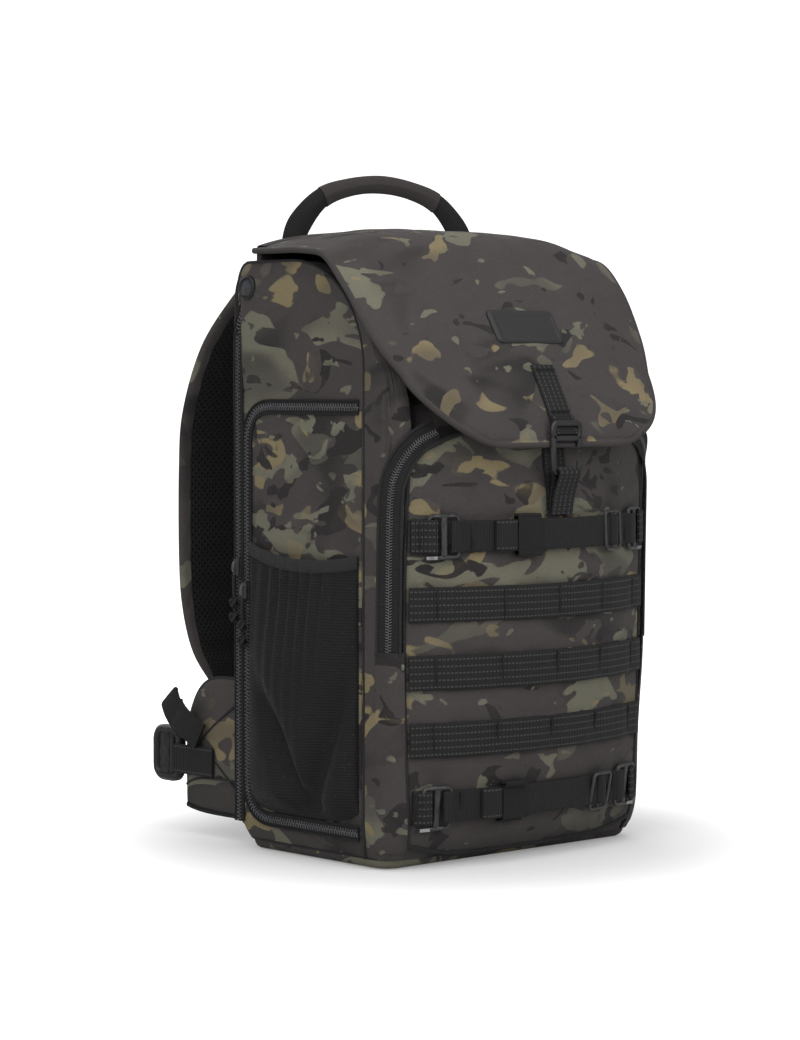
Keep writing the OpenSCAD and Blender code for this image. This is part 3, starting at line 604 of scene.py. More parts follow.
class Finish:
    """One material: a Principled surface with cloth and object coordinates and the shared effects."""

    def __init__(self, name, **constants):
        self.material = bpy.data.materials.new(name)
        self.material.use_nodes = True
        self.n = Nodes(self.material.node_tree)
        self.surface = self.material.node_tree.nodes["Principled BSDF"]
        for key, value in constants.items():
            self.surface.inputs[key.replace("_", " ")].default_value = value
        place = self.n.new("ShaderNodeTexCoord")
        self.cloth, self.place = place.outputs["UV"], place.outputs["Object"]

    def use(self, name, **inputs):
        """A placed copy of a shared effect; gives its outputs."""
        node = self.n.new("ShaderNodeGroup", {"node_tree": bpy.data.node_groups[name]})
        for key, value in inputs.items():
            self.n.put(node.inputs[key], value)
        return node.outputs

    def tint(self, colour, *shades):
        """A colour darkened by each shade in turn."""
        shown = colour
        for shade in shades:
            grey = self.n.new("ShaderNodeCombineColor", Red=shade, Green=shade, Blue=shade).outputs[0]
            node = self.n.new("ShaderNodeMix", {"data_type": "RGBA", "blend_type": "MULTIPLY"}, Factor=1.0)
            self.n.put(node.inputs["A"], shown)
            self.n.put(node.inputs["B"], grey)
            shown = node.outputs["Result"]
        return shown

    def finish(self, colour, rough, height, depth, metallic=None):
        """Feeds the surface; depth is the height of the relief in metres."""
        bump = self.n.new("ShaderNodeBump", Height=height, Distance=depth, Strength=1.0)
        self.n.put(self.surface.inputs["Base Color"], colour)
        self.n.put(self.surface.inputs["Roughness"], rough)
        self.n.put(self.surface.inputs["Normal"], bump.outputs[0])
        if metallic is not None:
            self.n.put(self.surface.inputs["Metallic"], metallic)


def rgba(c, gain=1.0):
    """A colour property as a four-part colour, made brighter by a gain."""
    return (gain * c[0], gain * c[1], gain * c[2], 1.0)


def printed_cloth(name, colours, sizes, thin=0.0):
    """Woven cloth with the blotch print; thin leaves more of its ground bare."""
    f = Finish(name, Sheen_Weight=0.03, Sheen_Roughness=0.5, Specular_IOR_Level=0.2)
    weave = f.use("weave", Cloth=f.cloth)
    soil = f.use("soil", Place=f.place, Roughness=0.8, Change=0.18, Dust=0.10)
    shown = f.use("blotch print", Cloth=f.cloth, Scale=sizes.print_scale, Thin=thin,
                  Ground=rgba(colours.ground), Shade=rgba(colours.shade), Leaf=rgba(colours.leaf),
                  Sand=rgba(colours.sand))["Colour"]
    # weave Shade is painted shade between the threads; soil Tone is the cloth's own uneven tone
    tone = f.tint(shown, weave["Shade"], soil["Tone"])
    crumple = f.n.noise(f.place, 75.0, 4.0, 0.6)
    height = f.n.plus(f.n.times(weave["Height"], 0.28), f.n.times(crumple, 1.6))
    f.finish(f.n.mix(soil["Lint"], tone, (0.3, 0.3, 0.29, 1)), soil["Roughness"], height, 0.0011)


def strap_cloth(name, base, thread, lines, shift=0.0, rib=0.0021, across=False, solid=False, sheen=0.02):
    """Webbing: ribs at an even pitch, and rows of stitches at the pitch that lines gives, or none."""
    f = Finish(name, Sheen_Weight=sheen, Sheen_Roughness=0.45, Specular_IOR_Level=0.22)
    if solid:
        f.cloth = f.place
    soil = f.use("soil", Place=f.place, Roughness=0.72, Change=0.2, Dust=0.16)
    u, v = f.n.split(f.cloth)
    ribs = f.n.wave(v if across else u, rib)
    fuzz = f.n.noise(f.cloth, 700.0, 2.0, 0.6)
    twill = f.n.wave(f.n.plus(u, f.n.times(v, 1.0)), rib * 0.7)
    height = f.n.plus(f.n.times(ribs, 0.7), f.n.times(f.n.plus(fuzz, twill), 0.2))
    # tone is darker where ribs and twill sink: painted shade in the grooves, plus the fuzz's own uneven tone
    tone = f.tint(base, soil["Tone"], f.n.plus(0.6, f.n.times(height, 0.75)))
    if lines:
        seam = f.use("stitching", Cloth=f.cloth, Pitch=lines, Shift=shift)
        tone = f.n.mix(seam["Mask"], tone, thread)
        height = f.n.plus(height, f.n.plus(f.n.times(seam["Mask"], 0.9), seam["Dent"]))
    f.finish(f.n.mix(soil["Lint"], tone, (0.2, 0.2, 0.2, 1)), soil["Roughness"], height, 0.0004)


def net_cloth(name, base, cell, ground):
    """Net: holes on a diamond lattice, from a product of cosines, over a darker ground."""
    f = Finish(name, Sheen_Weight=0.02, Sheen_Roughness=0.5, Specular_IOR_Level=0.15)
    soil = f.use("soil", Place=f.place, Roughness=0.75, Change=0.2, Dust=0.12)
    u, v = f.n.split(f.cloth)
    p = f.n.plus(u, v)
    q = f.n.minus(u, v)
    holes = f.n.times(f.n.wave(p, cell), f.n.wave(q, cell))
    knit = f.n.wave(v, cell * 0.5)
    hole = f.n.step(holes, 0.3, 0.55)
    # knit darkens the net between its courses: painted shade in the knit's grooves
    tone = f.tint(f.n.mix(hole, base, ground), soil["Tone"], f.n.plus(0.7, f.n.times(knit, 0.5)))
    height = f.n.minus(f.n.times(knit, 0.25), hole)
    f.finish(f.n.mix(soil["Lint"], tone, (0.16, 0.16, 0.16, 1)), soil["Roughness"], height, 0.0005)


def moulded(name, base, rough, grain, depth, **constants):
    """Moulded plastic or rubber: fine sparked grain with slow changes of gloss."""
    f = Finish(name, **constants)
    soil = f.use("soil", Place=f.place, Roughness=rough, Change=0.22, Dust=0.08)
    fine = f.n.noise(f.place, grain, 3.0, 0.6)
    tone = f.tint(base, soil["Tone"], f.n.plus(0.85, f.n.times(fine, 0.3)))
    wear_and_shine_share = f.n.new("ShaderNodeAttribute", {"attribute_name": "wear"}).outputs["Fac"]
    edge = f.n.times(wear_and_shine_share, f.n.step(f.n.noise(f.place, 90.0, 3.0), 0.35, 0.6))
    tone = f.n.mix(f.n.times(edge, 0.45), tone, (0.2, 0.2, 0.2, 1))
    f.finish(f.n.mix(soil["Lint"], tone, (0.2, 0.2, 0.2, 1)), soil["Roughness"], fine, depth)


def coated_metal(name, coat, bare):
    """Dark coated metal, bright bare metal where the wear-and-shine share is set: worn chips, and painted
    highlights along the edges of the hooks and triglides and on the hook tips.
    """
    f = Finish(name)
    soil = f.use("soil", Place=f.place, Roughness=0.36, Change=0.25, Dust=0.03)
    wear_and_shine_share = f.n.new("ShaderNodeAttribute", {"attribute_name": "wear"}).outputs["Fac"]
    chips = f.n.step(f.n.noise(f.place, 160.0, 4.0, 0.65), 0.36, 0.56)
    # edge is the share of bare metal: real wear and chips, and painted highlight where a bar's edges or a
    # hook's tip are marked
    edge = f.n.times(wear_and_shine_share, f.n.plus(0.35, f.n.times(chips, 0.65)), True)
    tone = f.tint(f.n.mix(edge, coat, bare), soil["Tone"])
    scratch = f.n.noise(f.place, 900.0, 2.0, 0.7)
    f.finish(tone, soil["Roughness"], scratch, 0.00006, f.n.times(edge, 0.9))


def make_finishes(sizes, colours):
    """Every cloth, plastic, metal and rubber of the bag."""
    make_effects(sizes)
    for name, thin in (("printed cloth", 0.005), ("flap cloth", 0.022), ("door cloth", -0.05),
                       ("panel cloth", -0.008)):
        printed_cloth(name, colours, sizes, thin)
    thread, black = rgba(colours.stitching), colours.webbing
    sewn = (("row webbing", 0.0054, 0.06), ("strap webbing", None, 0.0), ("stitched webbing", 0.0205, 0.39))
    for name, lines, shift in sewn:
        strap_cloth(name, rgba(black), thread, lines, shift)
    # edge band is 2.2 times as light as the webbing: painted highlight along the pocket's top edge.
    plain = (("hem cloth", colours.ground, 1.0, 0.0009, True), ("edge band", black, 2.2, 0.0007, True),
             ("binding", black, 1.5, 0.0014, False), ("keeper band", black, 1.0, 0.0008, True),
             ("zip tape", black, 1.0, 0.0013, False), ("thread bars", black, 0.8, 0.0009, True),
             ("cord braid", black, 1.3, 0.0016, False), ("lining", colours.lining, 1.0, 0.0015, False))
    for name, base, gain, rib, across in plain:
        strap_cloth(name, rgba(base, gain), thread, None, 0.0, rib, across)
    strap_cloth("pocket mesh", rgba(colours.mesh), thread, None, 0.0, 0.0024, True, sheen=0.04)
    strap_cloth("shelf lining", rgba(colours.lining), thread, None, 0.0, 0.0015, solid=True)
    net_cloth("spacer mesh", rgba(colours.mesh, 2.2), 0.0062, (0.004, 0.004, 0.004, 1))
    moulded("moulded plastic", rgba(colours.plastic), 0.42, 1300.0, 0.00008, Specular_IOR_Level=0.35)
    # The zip teeth are nine times as light as the moulded plastic: painted highlight on their glossy coils.
    moulded("zip teeth", rgba(colours.plastic, 9.0), 0.26, 900.0, 0.00004)
    moulded("patch rubber", rgba(colours.rubber), 0.62, 1100.0, 0.00012)
    moulded("plug rubber", (0.042, 0.048, 0.06, 1), 0.5, 1100.0, 0.0001)
    coated_metal("coated metal", rgba(colours.coating), rgba(colours.bare))


def tuck(z):
    """How far the cloth draws in towards the base: a parabola over the lowest 30 mm."""
    return 4.2 * np.clip(1 - (z - BASE_T) / 30, 0, 1) ** 2


def front_rise(z):
    """Share of the full bulge at a height: a half sine, flattened."""
    return np.maximum(0, np.sin(np.pi * np.clip(z, 0, BULGE_H) / BULGE_H)) ** 0.75


def edge_sine(z):
    """Sine of the front's turn at the panel's side edge, where its parabola meets the corner's circle."""
    slope = 2 * BULGE * front_rise(z) / (HALF_W - CORNER_R / 2)
    return slope / np.hypot(1, slope)


def edge_x(z):
    """Half width of the front panel at a height."""
    return HALF_W - CORNER_R * (1 - edge_sine(z))


def edge_y(z):
    """Depth of the front panel's side edge at a height."""
    return -HALF_D - EDGE_BULGE * (1 - np.exp(-z / EDGE_RISE)) - EDGE_LEAN * (z / FRONT_TOP) ** 4


def corner_y(z):
    """Depth of the middle of the upright corner's circle at a height."""
    return edge_y(z) + CORNER_R * np.sqrt(1 - edge_sine(z) ** 2)


def front_depth(x, z):
    """The y of the bag's front: a parabola across, tangent to the circles of the upright corners."""
    x, z = np.asarray(x, float), np.asarray(z, float)
    corner = corner_y(z) - np.sqrt(np.maximum(0, CORNER_R**2 - (np.abs(x) - ARC_X) ** 2))
    panel = edge_y(z) - BULGE * front_rise(z) * (1 - (x / edge_x(z)) ** 2)
    return np.where(np.abs(x) > edge_x(z), corner, panel)


def front_out(x, z):
    """Outward direction of the front at a place, from its slopes across and up."""
    dx = front_depth(x + 0.5, z) - front_depth(x - 0.5, z)
    dz = front_depth(x, z + 0.5) - front_depth(x, z - 0.5)
    return unit(np.stack(np.broadcast_arrays(dx, -1.0, dz), -1))


def on_front(x, z, off):
    """Points at a distance off the front."""
    x, z = np.broadcast_arrays(np.asarray(x, float), np.asarray(z, float))
    level = front_out(x, z) * np.array([1, 1, 0])
    return np.stack([x, front_depth(x, z), z], -1) + np.asarray(off, float)[..., None] * unit(level)


def row_z(k):
    """Height of a row's lower edge."""
    return ROW_LOW + ROW_PITCH * k


def row_end(k):
    """Half the length of a row, 3 short of the panel's side edge."""
    return float(edge_x(row_z(k) + ROW_W / 2)) - 3


def hood_line(count):
    """The side seam in (y, z): up the front, round the hood and back along its top."""
    turn = np.linspace(np.pi, np.pi / 2, 30)
    arc = np.stack([HOOD_Y + HOOD_R * np.cos(turn), HOOD_Z + HOOD_R * np.sin(turn)], 1)
    back = np.linspace(HALF_D - 14, HALF_D - 0.6, 12)
    line = np.vstack([[[SEAM_Y, BASE_T]], arc, np.stack([back, hood_top(back)], 1)])
    return even(line, count)


def hood_top(y):
    """Height of the hood along the side: a round front shoulder and a small round rear corner."""
    front = np.sqrt(np.maximum(0, HOOD_R**2 - (np.minimum(y, HOOD_Y) - HOOD_Y) ** 2))
    rear = 1 - np.sqrt(np.clip(1 - (np.maximum(y - HALF_D + 14, 0) / 14) ** 2, 0, 1))
    return HOOD_Z + front - 22 * rear


def seam_at(z):
    """Depth of the side seam at a height, following the hood's front shoulder."""
    return HOOD_Y - np.sqrt(np.maximum(0, HOOD_R**2 - np.maximum(z - HOOD_Z, 0) ** 2))


def piping(piece, line, out, radius, finish="binding"):
    """Corded edge: a round cord along the line."""
    piece.sweep(line, out, round_profile(radius, 8), finish)


def zip_rows(piece, line, out, pitch, side, width=3.0):
    """One row of slanted zip teeth beside a line: side is 1 or -1."""
    s = run(line)
    at = np.arange(pitch * (0.5 + 0.25 * side), s[-1] - pitch / 2, pitch)
    place, normal, forward = (np.stack([np.interp(at, s, rows[:, k]) for k in range(3)], 1)
                              for rows in (line, np.broadcast_to(out, line.shape), heading(line)))
    normal, forward = unit(normal), unit(forward)
    across = np.cross(forward, normal)
    slant = unit(across + 0.35 * side * forward)
    axes = np.stack([width * slant, 0.8 * forward, 2.0 * normal], 1)
    bead = CUBE.copy()
    bead[:, 1:] *= np.where(bead[:, 2:] > 0, 0.7, 1.0)
    middle = place + across * side * width * 0.36 + normal * 0.55
    piece.stamp(bead, CUBE_FACES, middle, axes, "zip teeth", 0.4)


def zip_tape(piece, line, out, near, far):
    """Half of a zip's tape, from near to far across its line."""
    across = unit(np.cross(heading(line), np.broadcast_to(out, line.shape)))
    middle = line + across * (near + far) / 2
    piece.sweep(middle, out, flat_profile(abs(far - near), 0.9, 0.15), "zip tape")


def side_zip_half(piece, line, out, side, far, lift, pitch):
    """Half of a side zip: its tape, its teeth and a thin cord along the tape's outer edge."""
    zip_tape(piece, line, out, side * 0.4, side * far)
    zip_rows(piece, line, out, pitch, side, SIDE_TOOTH_W)
    across = unit(np.cross(heading(line), out))
    piping(piece, line + across * side * (far + 0.6) + out * lift, out, 0.8, "zip tape")


def bar_tacks(piece, xs, k, off, height=ROW_W - 3):
    """Dense bars of thread across a row at each x."""
    xs = np.asarray(xs, float)
    z = np.full_like(xs, row_z(k) + ROW_W / 2)
    out = front_out(xs, z)
    up = unit(UP - out * out[:, 2:])
    over = np.cross(up, out)
    axes = np.stack([2.0 * over, height * up, 0.9 * out], 1)
    bead = CUBE.copy()
    bead[:, :2] *= np.where(bead[:, 2:] > 0, 0.8, 1.0)
    piece.stamp(bead, CUBE_FACES, on_front(xs, z, off), axes, "thread bars")


def front_strip(piece, x0, x1, z0, z1, lift, finish, thick=WEB_T, count=60):
    """Webbing along the front from x0 to x1; lift(x) is the height of its back off the front."""
    x = np.linspace(x0, x1, count)
    z = (z0 + z1) / 2
    out = unit(front_out(x, np.full_like(x, z)) * np.array([1, 1, 0]))
    path = on_front(x, np.full_like(x, z), lift(x) + thick / 2)
    piece.sweep(path, out, flat_profile(z1 - z0, thick, 0.15), finish, across=UP)


def make_front(sizes):
    """Front pocket panel, swelling between its webbing rows, with piping and the roof behind its top."""
    k = np.linspace(-1, 1, 97)[:, None]
    t = np.linspace(0, 1, 121)[None]
    z = BASE_T + GAP + 12 * k**4 + (FRONT_TOP - BASE_T - GAP - 38 * k**4) * t
    x = k * edge_x(z)
    place = (z - ROW_LOW) / ROW_PITCH
    free = (place - np.floor(place)) * ROW_PITCH
    swell = np.where(free > ROW_W,
                     np.sin(np.pi * np.clip((free - ROW_W) / (ROW_PITCH - ROW_W), 0, 1)) ** 0.7, 0.0)
    swell = np.where(z < ROW_LOW, step_up(BASE_T, 22, z) * step_up(ROW_LOW, 26, z), swell)
    calm = (1 - k**6) * step_up(0, 0.03, t)
    tack = 0.55 + 0.45 * np.sin(np.pi * (x + 110) / 55) ** 2
    creases = wobble(x, z, 46, 0.4) + 0.5 * wobble(x, z, 21, 2.0)
    off = swell * calm * (sizes.pillow * tack + sizes.crease * creases)
    off = off - 1.2 * (1 - step_up(0, 0.02, 1 - np.abs(k))) - tuck(z)
    outer, inner = on_front(x, z, off), on_front(x, z, -4.0 - tuck(z))
    panel = Piece("front_panel_cloth")
    panel.shell(outer, inner, "panel cloth", "lining", uv=np.stack([x, z], -1))
    edge_out = front_out(x, z)
    for cols, rows in ((slice(None), 0), (slice(None), -1), (0, slice(None)), (-1, slice(None))):
        line = outer[cols, rows] + edge_out[cols, rows] * 0.6
        piping(panel, line[::2], edge_out[cols, rows][::2], sizes.piping)
    share = np.linspace(0, 1, 10)[None, :, None]
    hood_edge = np.stack([0.95 * x[:, -1], np.full(len(x), SEAM_Y - 0.8), np.full(len(x), 388.0)], 1)
    roof = on_front(x, z, np.full(z.shape, -1.5))[:, -1][:, None] * (1 - share) + hood_edge[:, None] * share
    roof = roof + np.array([0, 0, 6.0]) * np.sin(np.pi * share)
    panel.shell(roof, roof - [0, 0, 1.5], "printed cloth", "lining")
    panel.done("bag", ["front_panel"])


def make_webbing_rows():
    """The three sewn webbing rows: each lies flat at its thread bars and stands off between them."""
    tacks = np.array([-110, -55, 0, 55, 110])
    for k in (1, 2, 3):
        row = Piece(f"webbing_row_{k}_tape")

        def lift(x):
            near = np.abs(x[:, None] - tacks).min(1)
            return GAP + 1.1 * step_up(1.5, 14, near) * (1 + 0.25 * np.sin(x / 17 + k))

        front_strip(row, -row_end(k), row_end(k), row_z(k), row_z(k) + ROW_W, lift, "row webbing", count=160)
        bar_tacks(row, tacks, k, GAP + WEB_T + 0.2)
        row.done("bag", [f"webbing_row_{k}"])


def make_sides(sizes):
    """Padded side panels, the left one with the door's window, and the piping along their seams."""
    y = np.unique(np.concatenate([np.linspace(SEAM_Y, DOOR_Y, 3), np.linspace(DOOR_Y, DOOR_REAR, 45),
                                  np.linspace(DOOR_REAR, HALF_D, 7)]))[:, None]
    low = np.unique(np.concatenate([np.linspace(BASE_T, DOOR_LOW, 7), np.linspace(DOOR_LOW, DOOR_HIGH, 60)]))
    share = np.linspace(0, 1, 26)[1:]
    top = hood_top(y)
    z = np.concatenate([np.broadcast_to(low, (len(y), len(low))), DOOR_HIGH + (top - DOOR_HIGH) * share], 1)
    edge = np.minimum(step_up(SEAM_Y, SEAM_Y + 22, y), step_up(HALF_D, HALF_D - 14, y))
    puff = 4.0 * edge * step_up(370, 400, z) * step_up(0, 26, top - z)
    creases = wobble(y, z, 58, 1.1) * step_up(368, 385, z) + 0.5 * wobble(y, z, 27, 3.1)
    puff = puff + sizes.crease * creases * edge * step_up(0, 14, top - z)
    for sign, name in ((-1, "left"), (1, "right")):
        if sign > 0:
            puff = puff + 3.2 * edge * step_up(12, 60, z) * step_up(400, 340, z)
        yy = y - 2.8 * tuck(z) * step_up(DOOR_REAR, HALF_D, y)
        outer = np.stack([sign * (HALF_W + puff - tuck(z)), yy, z], -1)
        inner = np.stack([np.full(z.shape, sign * (HALF_W - 5.5)), yy, z], -1)
        mid_y, mid_z = (yy[1:, 1:] + yy[:-1, :-1]) / 2, (z[1:, 1:] + z[:-1, :-1]) / 2
        window = (mid_y > DOOR_Y) & (mid_y < DOOR_REAR) & (mid_z > DOOR_LOW) & (mid_z < DOOR_HIGH)
        keep = ~window if sign < 0 else np.ones(window.shape, bool)
        side = Piece(f"{name}_side_cloth")
        side.shell(outer, inner, "printed cloth", "lining", keep, np.stack([sign * yy + SIDE_PRINT, z], -1))
        seam = hood_line(150)
        piping(side, at_x(sign * (HALF_W - 0.3), seam), sign * RIGHT, sizes.piping * 0.6)
        side.done("bag", [f"{name}_side_panel"])


def make_hood():
    """Hood from the front pocket's top to the rear, the wall under the flap and the handle's feet."""
    seam = hood_line(160)
    lower = np.array([[SEAM_Y, FRONT_TOP + 2]])
    seam = even(np.vstack([lower, seam[seam[:, 1] > FRONT_TOP + 3]]), 70)
    out = unit(np.stack([-heading(seam)[:, 1], heading(seam)[:, 0]], 1))
    x = np.linspace(-HALF_W + 3, HALF_W - 3, 50)
    sag = 1.2 * wobble(x[None], seam[:, :1] + seam[:, 1:], 70, 0.7) * (1 - (x / HALF_W) ** 4)[None]
    hood = Piece("hood_cloth")
    cover = [np.stack([np.broadcast_to(x, (70, 50)),
                       *[(seam[:, k, None] + out[:, k, None] * d) for k in (0, 1)]], -1)
             for d in (sag, np.full((70, 50), -5.0))]
    hood.shell(cover[0], cover[1], "printed cloth", "lining")
    xs = np.linspace(-HALF_W + 7, HALF_W - 7, 61)
    crown = BAG_H + 18 - 14.9 * np.abs(xs / 142) ** 3 - 5
    wall = [np.stack([xs[:, None] + 0 * t, np.full((61, 6), yy), 481 + (crown[:, None] - 481) * t], -1)
            for yy in (HANDLE_Y - 7.8, HANDLE_Y - 3.2) for t in [np.linspace(0, 1, 6)[None]]]
    hood.shell(wall[0], wall[1], "printed cloth")
    for s in (-1, 1):
        foot = np.stack([np.full(6, s * HANDLE_HALF), np.full(6, HANDLE_Y), np.linspace(480, 486.7, 6)], 1)
        hood.sweep(foot, BACK, flat_profile(25, 4.6), "strap webbing")
    hood.done("bag", ["top_panel"])


def make_corners(sizes):
    """Upright corner strips: straight from the seam, then round, and drawn back under the flap."""
    z = np.linspace(BASE_T, CORNER_TOP, 100)[None]
    low_z = np.minimum(z, FRONT_TOP)
    back = np.cos(np.pi / 2 * np.clip((z - CORNER_TURN) / (CORNER_TOP - CORNER_TURN), 0, 1))
    along_arc = np.clip(np.arange(30) - 7, 0, None)[:, None] / 22
    bend = np.pi / 2 + (np.pi / 2 - np.arcsin(edge_sine(low_z)) - 0.016) * along_arc
    straight = np.clip(np.arange(30) / 7, 0, 1)[:, None]
    nx, ny = -np.sin(bend), np.cos(bend)
    xx = -ARC_X + CORNER_R * nx
    yy = (corner_y(low_z) - SEAM_Y) * straight + CORNER_R * ny
    yy = seam_at(z) + yy * back
    shape = np.sin(np.linspace(0, np.pi, 30))[:, None]
    fold = shape * sizes.crease * wobble(z, 60 * xx, 63, 2.2)
    pleat = 3.5 * np.exp(-(((z - 366 - 0.5 * (xx + 134)) / 9) ** 2)) * shape
    flat = np.stack([xx - yy + CORNER_PRINT, np.broadcast_to(z, xx.shape)], -1)
    for sign, name in ((1, "left"), (-1, "right")):
        strip = Piece(f"{name}_corner_cloth")
        skins = [np.stack([sign * (xx + nx * d), yy + ny * d, np.broadcast_to(z, xx.shape)], -1)
                 for d in (fold + pleat - tuck(z), -4.5 - tuck(z) + 0 * fold)]
        strip.shell(skins[0], skins[1], "printed cloth", "lining", uv=flat)
        strip.done("bag", ["front_gussets"] if sign > 0 else [])


def make_base():
    """Base: a rounded tray with a piped edge, the cloth under the front panel and the floor inside."""
    base = Piece("base_cloth")
    quarter = np.linspace(0, np.pi / 2, 10)
    rear, front = HALF_D - 17, CORNER_R - HALF_D
    turns = ((HALF_W - 9, rear, 9), (9 - HALF_W, rear, 9), (-ARC_X, front, CORNER_R),
             (ARC_X, front, CORNER_R))
    plan = [[x, y] + r * np.stack([np.cos(quarter + k * np.pi / 2), np.sin(quarter + k * np.pi / 2)], 1)
            for k, (x, y, r) in enumerate(turns)]
    ring = even(np.vstack(plan + [plan[0][:1]]), 201)[:-1]
    profile = np.array([[-30, 0.2], [-14, 0.0], [-9, 0.5], [-6.2, 2.2], [-4.6, 4.6], [-3.8, 7.4],
                        [-4.6, 8.6], [-10, 8.2]])
    centre = unit(np.stack([heading(ring, True)[:, 1], -heading(ring, True)[:, 0]], 1))
    centre = centre * np.sign((centre * ring).sum(1).mean())
    rows = np.stack([ring[:, None, 0] + centre[:, None, 0] * profile[:, 0],
                     ring[:, None, 1] + centre[:, None, 1] * profile[:, 0],
                     np.broadcast_to(profile[:, 1], (len(ring), len(profile)))], -1)
    shrink = np.linspace(1, 0, 8)[:, None]
    for side, height in ((0, 0.2), (-1, 8.2)):
        disc = rows[:, side][:, None] * [1, 1, 0] * shrink + height * UP
        base.grid(disc, "lining" if side else "binding", wrap=(True, False), flip=side == 0)
    base.grid(rows, "printed cloth", wrap=(True, False))
    edge = np.concatenate([ring - centre * 4.0, np.full((len(ring), 1), BASE_T + 0.2)], 1)
    base.sweep(edge, UP, round_profile(0.9, 8), "binding", ring=True)
    under_z = np.linspace(BASE_T - 1, 30, 10)[None]
    under_x = np.linspace(-1, 1, 80)[:, None] * edge_x(under_z)
    under = [on_front(under_x, under_z, d - tuck(under_z) + 0 * under_x) for d in (-2.6, -4.4)]
    base.shell(under[0], under[1], "printed cloth", "lining")
    deep = np.linspace(-70, HALF_D + 0.2, 6)[None]
    wide = np.linspace(-1, 1, 5)[:, None] * (137 - 9 * step_up(60, HALF_D, deep))
    floor = np.stack([wide, deep + 0 * wide, np.full(wide.shape, BASE_T + 4.2)], -1)
    base.shell(floor, floor - [0, 0, 1.2], "lining")
    base.done("bag", ["base_panel"])


def make_front_zips(sizes):
    """The two zips round the front pocket's upright corners, with their cloth garages."""
    route = np.array([[-141.7, 171], [-141.7, 210], [-141.7, 260], [-141.4, 296], [-139.5, 313],
                      [-134, 328], [-124, 339], [-110, 346]])
    line = along(route, 120)
    for sign, name in ((1, "left"), (-1, "right")):
        x, z = sign * line[:, 0], line[:, 1]
        out = front_out(x, z)
        path = on_front(x, z, np.full(len(x), 2.0))
        rail = Piece(f"{name}_front_zip")
        for side in (1, -1):
            zip_tape(rail, path, out, side * 0.4, side * 8.5)
            zip_rows(rail, path, out, sizes.tooth_pitch, side)
        across = unit(np.cross(heading(path), out))
        for side in (1, -1):
            piping(rail, path + across * side * 9.5 + out * 0.3, out, 1.2)
        zz = np.linspace(14, 173, 60)[None]
        x0 = -144.9 + (144.9 - edge_x(zz) - 0.4) * np.linspace(0, 1, 14)[:, None]
        hem = 0.9 + 3.2 * step_up(80, 170, zz) - tuck(zz)
        lid = [on_front(sign * x0, zz + 0 * x0, hem - d + 0 * x0) for d in (0, 0.8)]
        rail.shell(*lid, "printed cloth", uv=np.stack([x0 - lid[0][..., 1] + CORNER_PRINT, zz + 0 * x0], -1))
        rail.done("bag", ["front_zip"] if sign > 0 else [])


def make_side_zips(sizes):
    """Door zip and rear zips: half of each tape stays on the bag, half goes with the panel it closes."""
    pitch = 1.35 * sizes.tooth_pitch
    front, rear, low, high = DOOR_Y + 3, DOOR_REAR + 2.5, DOOR_LOW - 2.5, DOOR_HIGH + 2.5
    line = at_x(-HALF_W - 0.8,
                rounded_line([(front, high), (rear, high), (rear, low), (front, low)], 30, 3.0))
    for body, side, name, parts in (("bag", 1, "bag", ["door_zip"]), ("side_door", -1, "door", [])):
        rail = Piece(f"door_zip_{name}_half")
        side_zip_half(rail, line, -RIGHT, side, 4.8, 0.6, pitch)
        rail.done(body, parts)
    straight = [(REAR_ZIP_Y, z) for z in (22, 120, 300, 415)]
    route = along(straight + [(83, 440), (74, 453)], 150)
    for sign, name in ((-1, "left"), (1, "right")):
        line = at_x(sign * (HALF_W + 0.8), route)
        opens = line[:, 2] < REAR_ZIP_OPENS
        halves = (("bag", "bag", [(-sign, line), (sign, line[~opens])]),
                  ("panel", "rear_panel", [(sign, line[opens])]))
        for half, body, runs in halves:
            rail = Piece(f"{name}_rear_zip_{half}_half")
            for side, path in runs:
                side_zip_half(rail, path, sign * RIGHT, side, 4.6, 0.5, pitch)
            rail.done(body, ["rear_zip"] if half == "bag" and sign < 0 else [])


def make_sliders():
    """Zip sliders of coated metal: two plates on a post, and a bridge for the pull."""
    for name, y, z0 in (("door", DOOR_REAR + 2.5, DOOR_SLIDER_Z), ("rear", 87.5, REAR_SLIDER_Z)):
        body = Piece(f"{name}_slider_metal")
        top = -HALF_W - 5.4
        z = np.linspace(z0, z0 + 14, 15)
        half = 2.6 + 1.2 * np.sin(np.pi * (z - z0) / 14) ** 0.5
        ring = bar_profile(1, 1, 0.2)
        for x, thick in ((-HALF_W - 2.2, 1.0), (top + 0.3, 1.2)):
            path = np.stack([np.full(15, x), np.full(15, y), z], 1)
            shape = np.stack([ring[None, :, 0] * 2 * half[:, None],
                              np.broadcast_to(ring[:, 1] * thick, (15, len(ring)))], -1)
            body.sweep(path, -RIGHT, shape, "coated metal", wear=0.08)
        bridge = np.array([[top + 0.6, y, z0 + 11.5], [top - 2.4, y, z0 + 10.5], [top - 2.6, y, z0 + 4.5],
                           [top + 0.6, y, z0 + 3]])
        body.sweep(along(bridge, 16), BACK, bar_profile(1.4, 2.6, 0.4), "coated metal", wear=0.15)
        post = np.stack([np.linspace(-HALF_W - 2.2, top, 4), np.full(4, y), np.full(4, z0 + 9)], 1)
        body.sweep(post, BACK, bar_profile(3, 2), "coated metal")
        body.done(f"{name}_slider", [f"{name}_slider"])


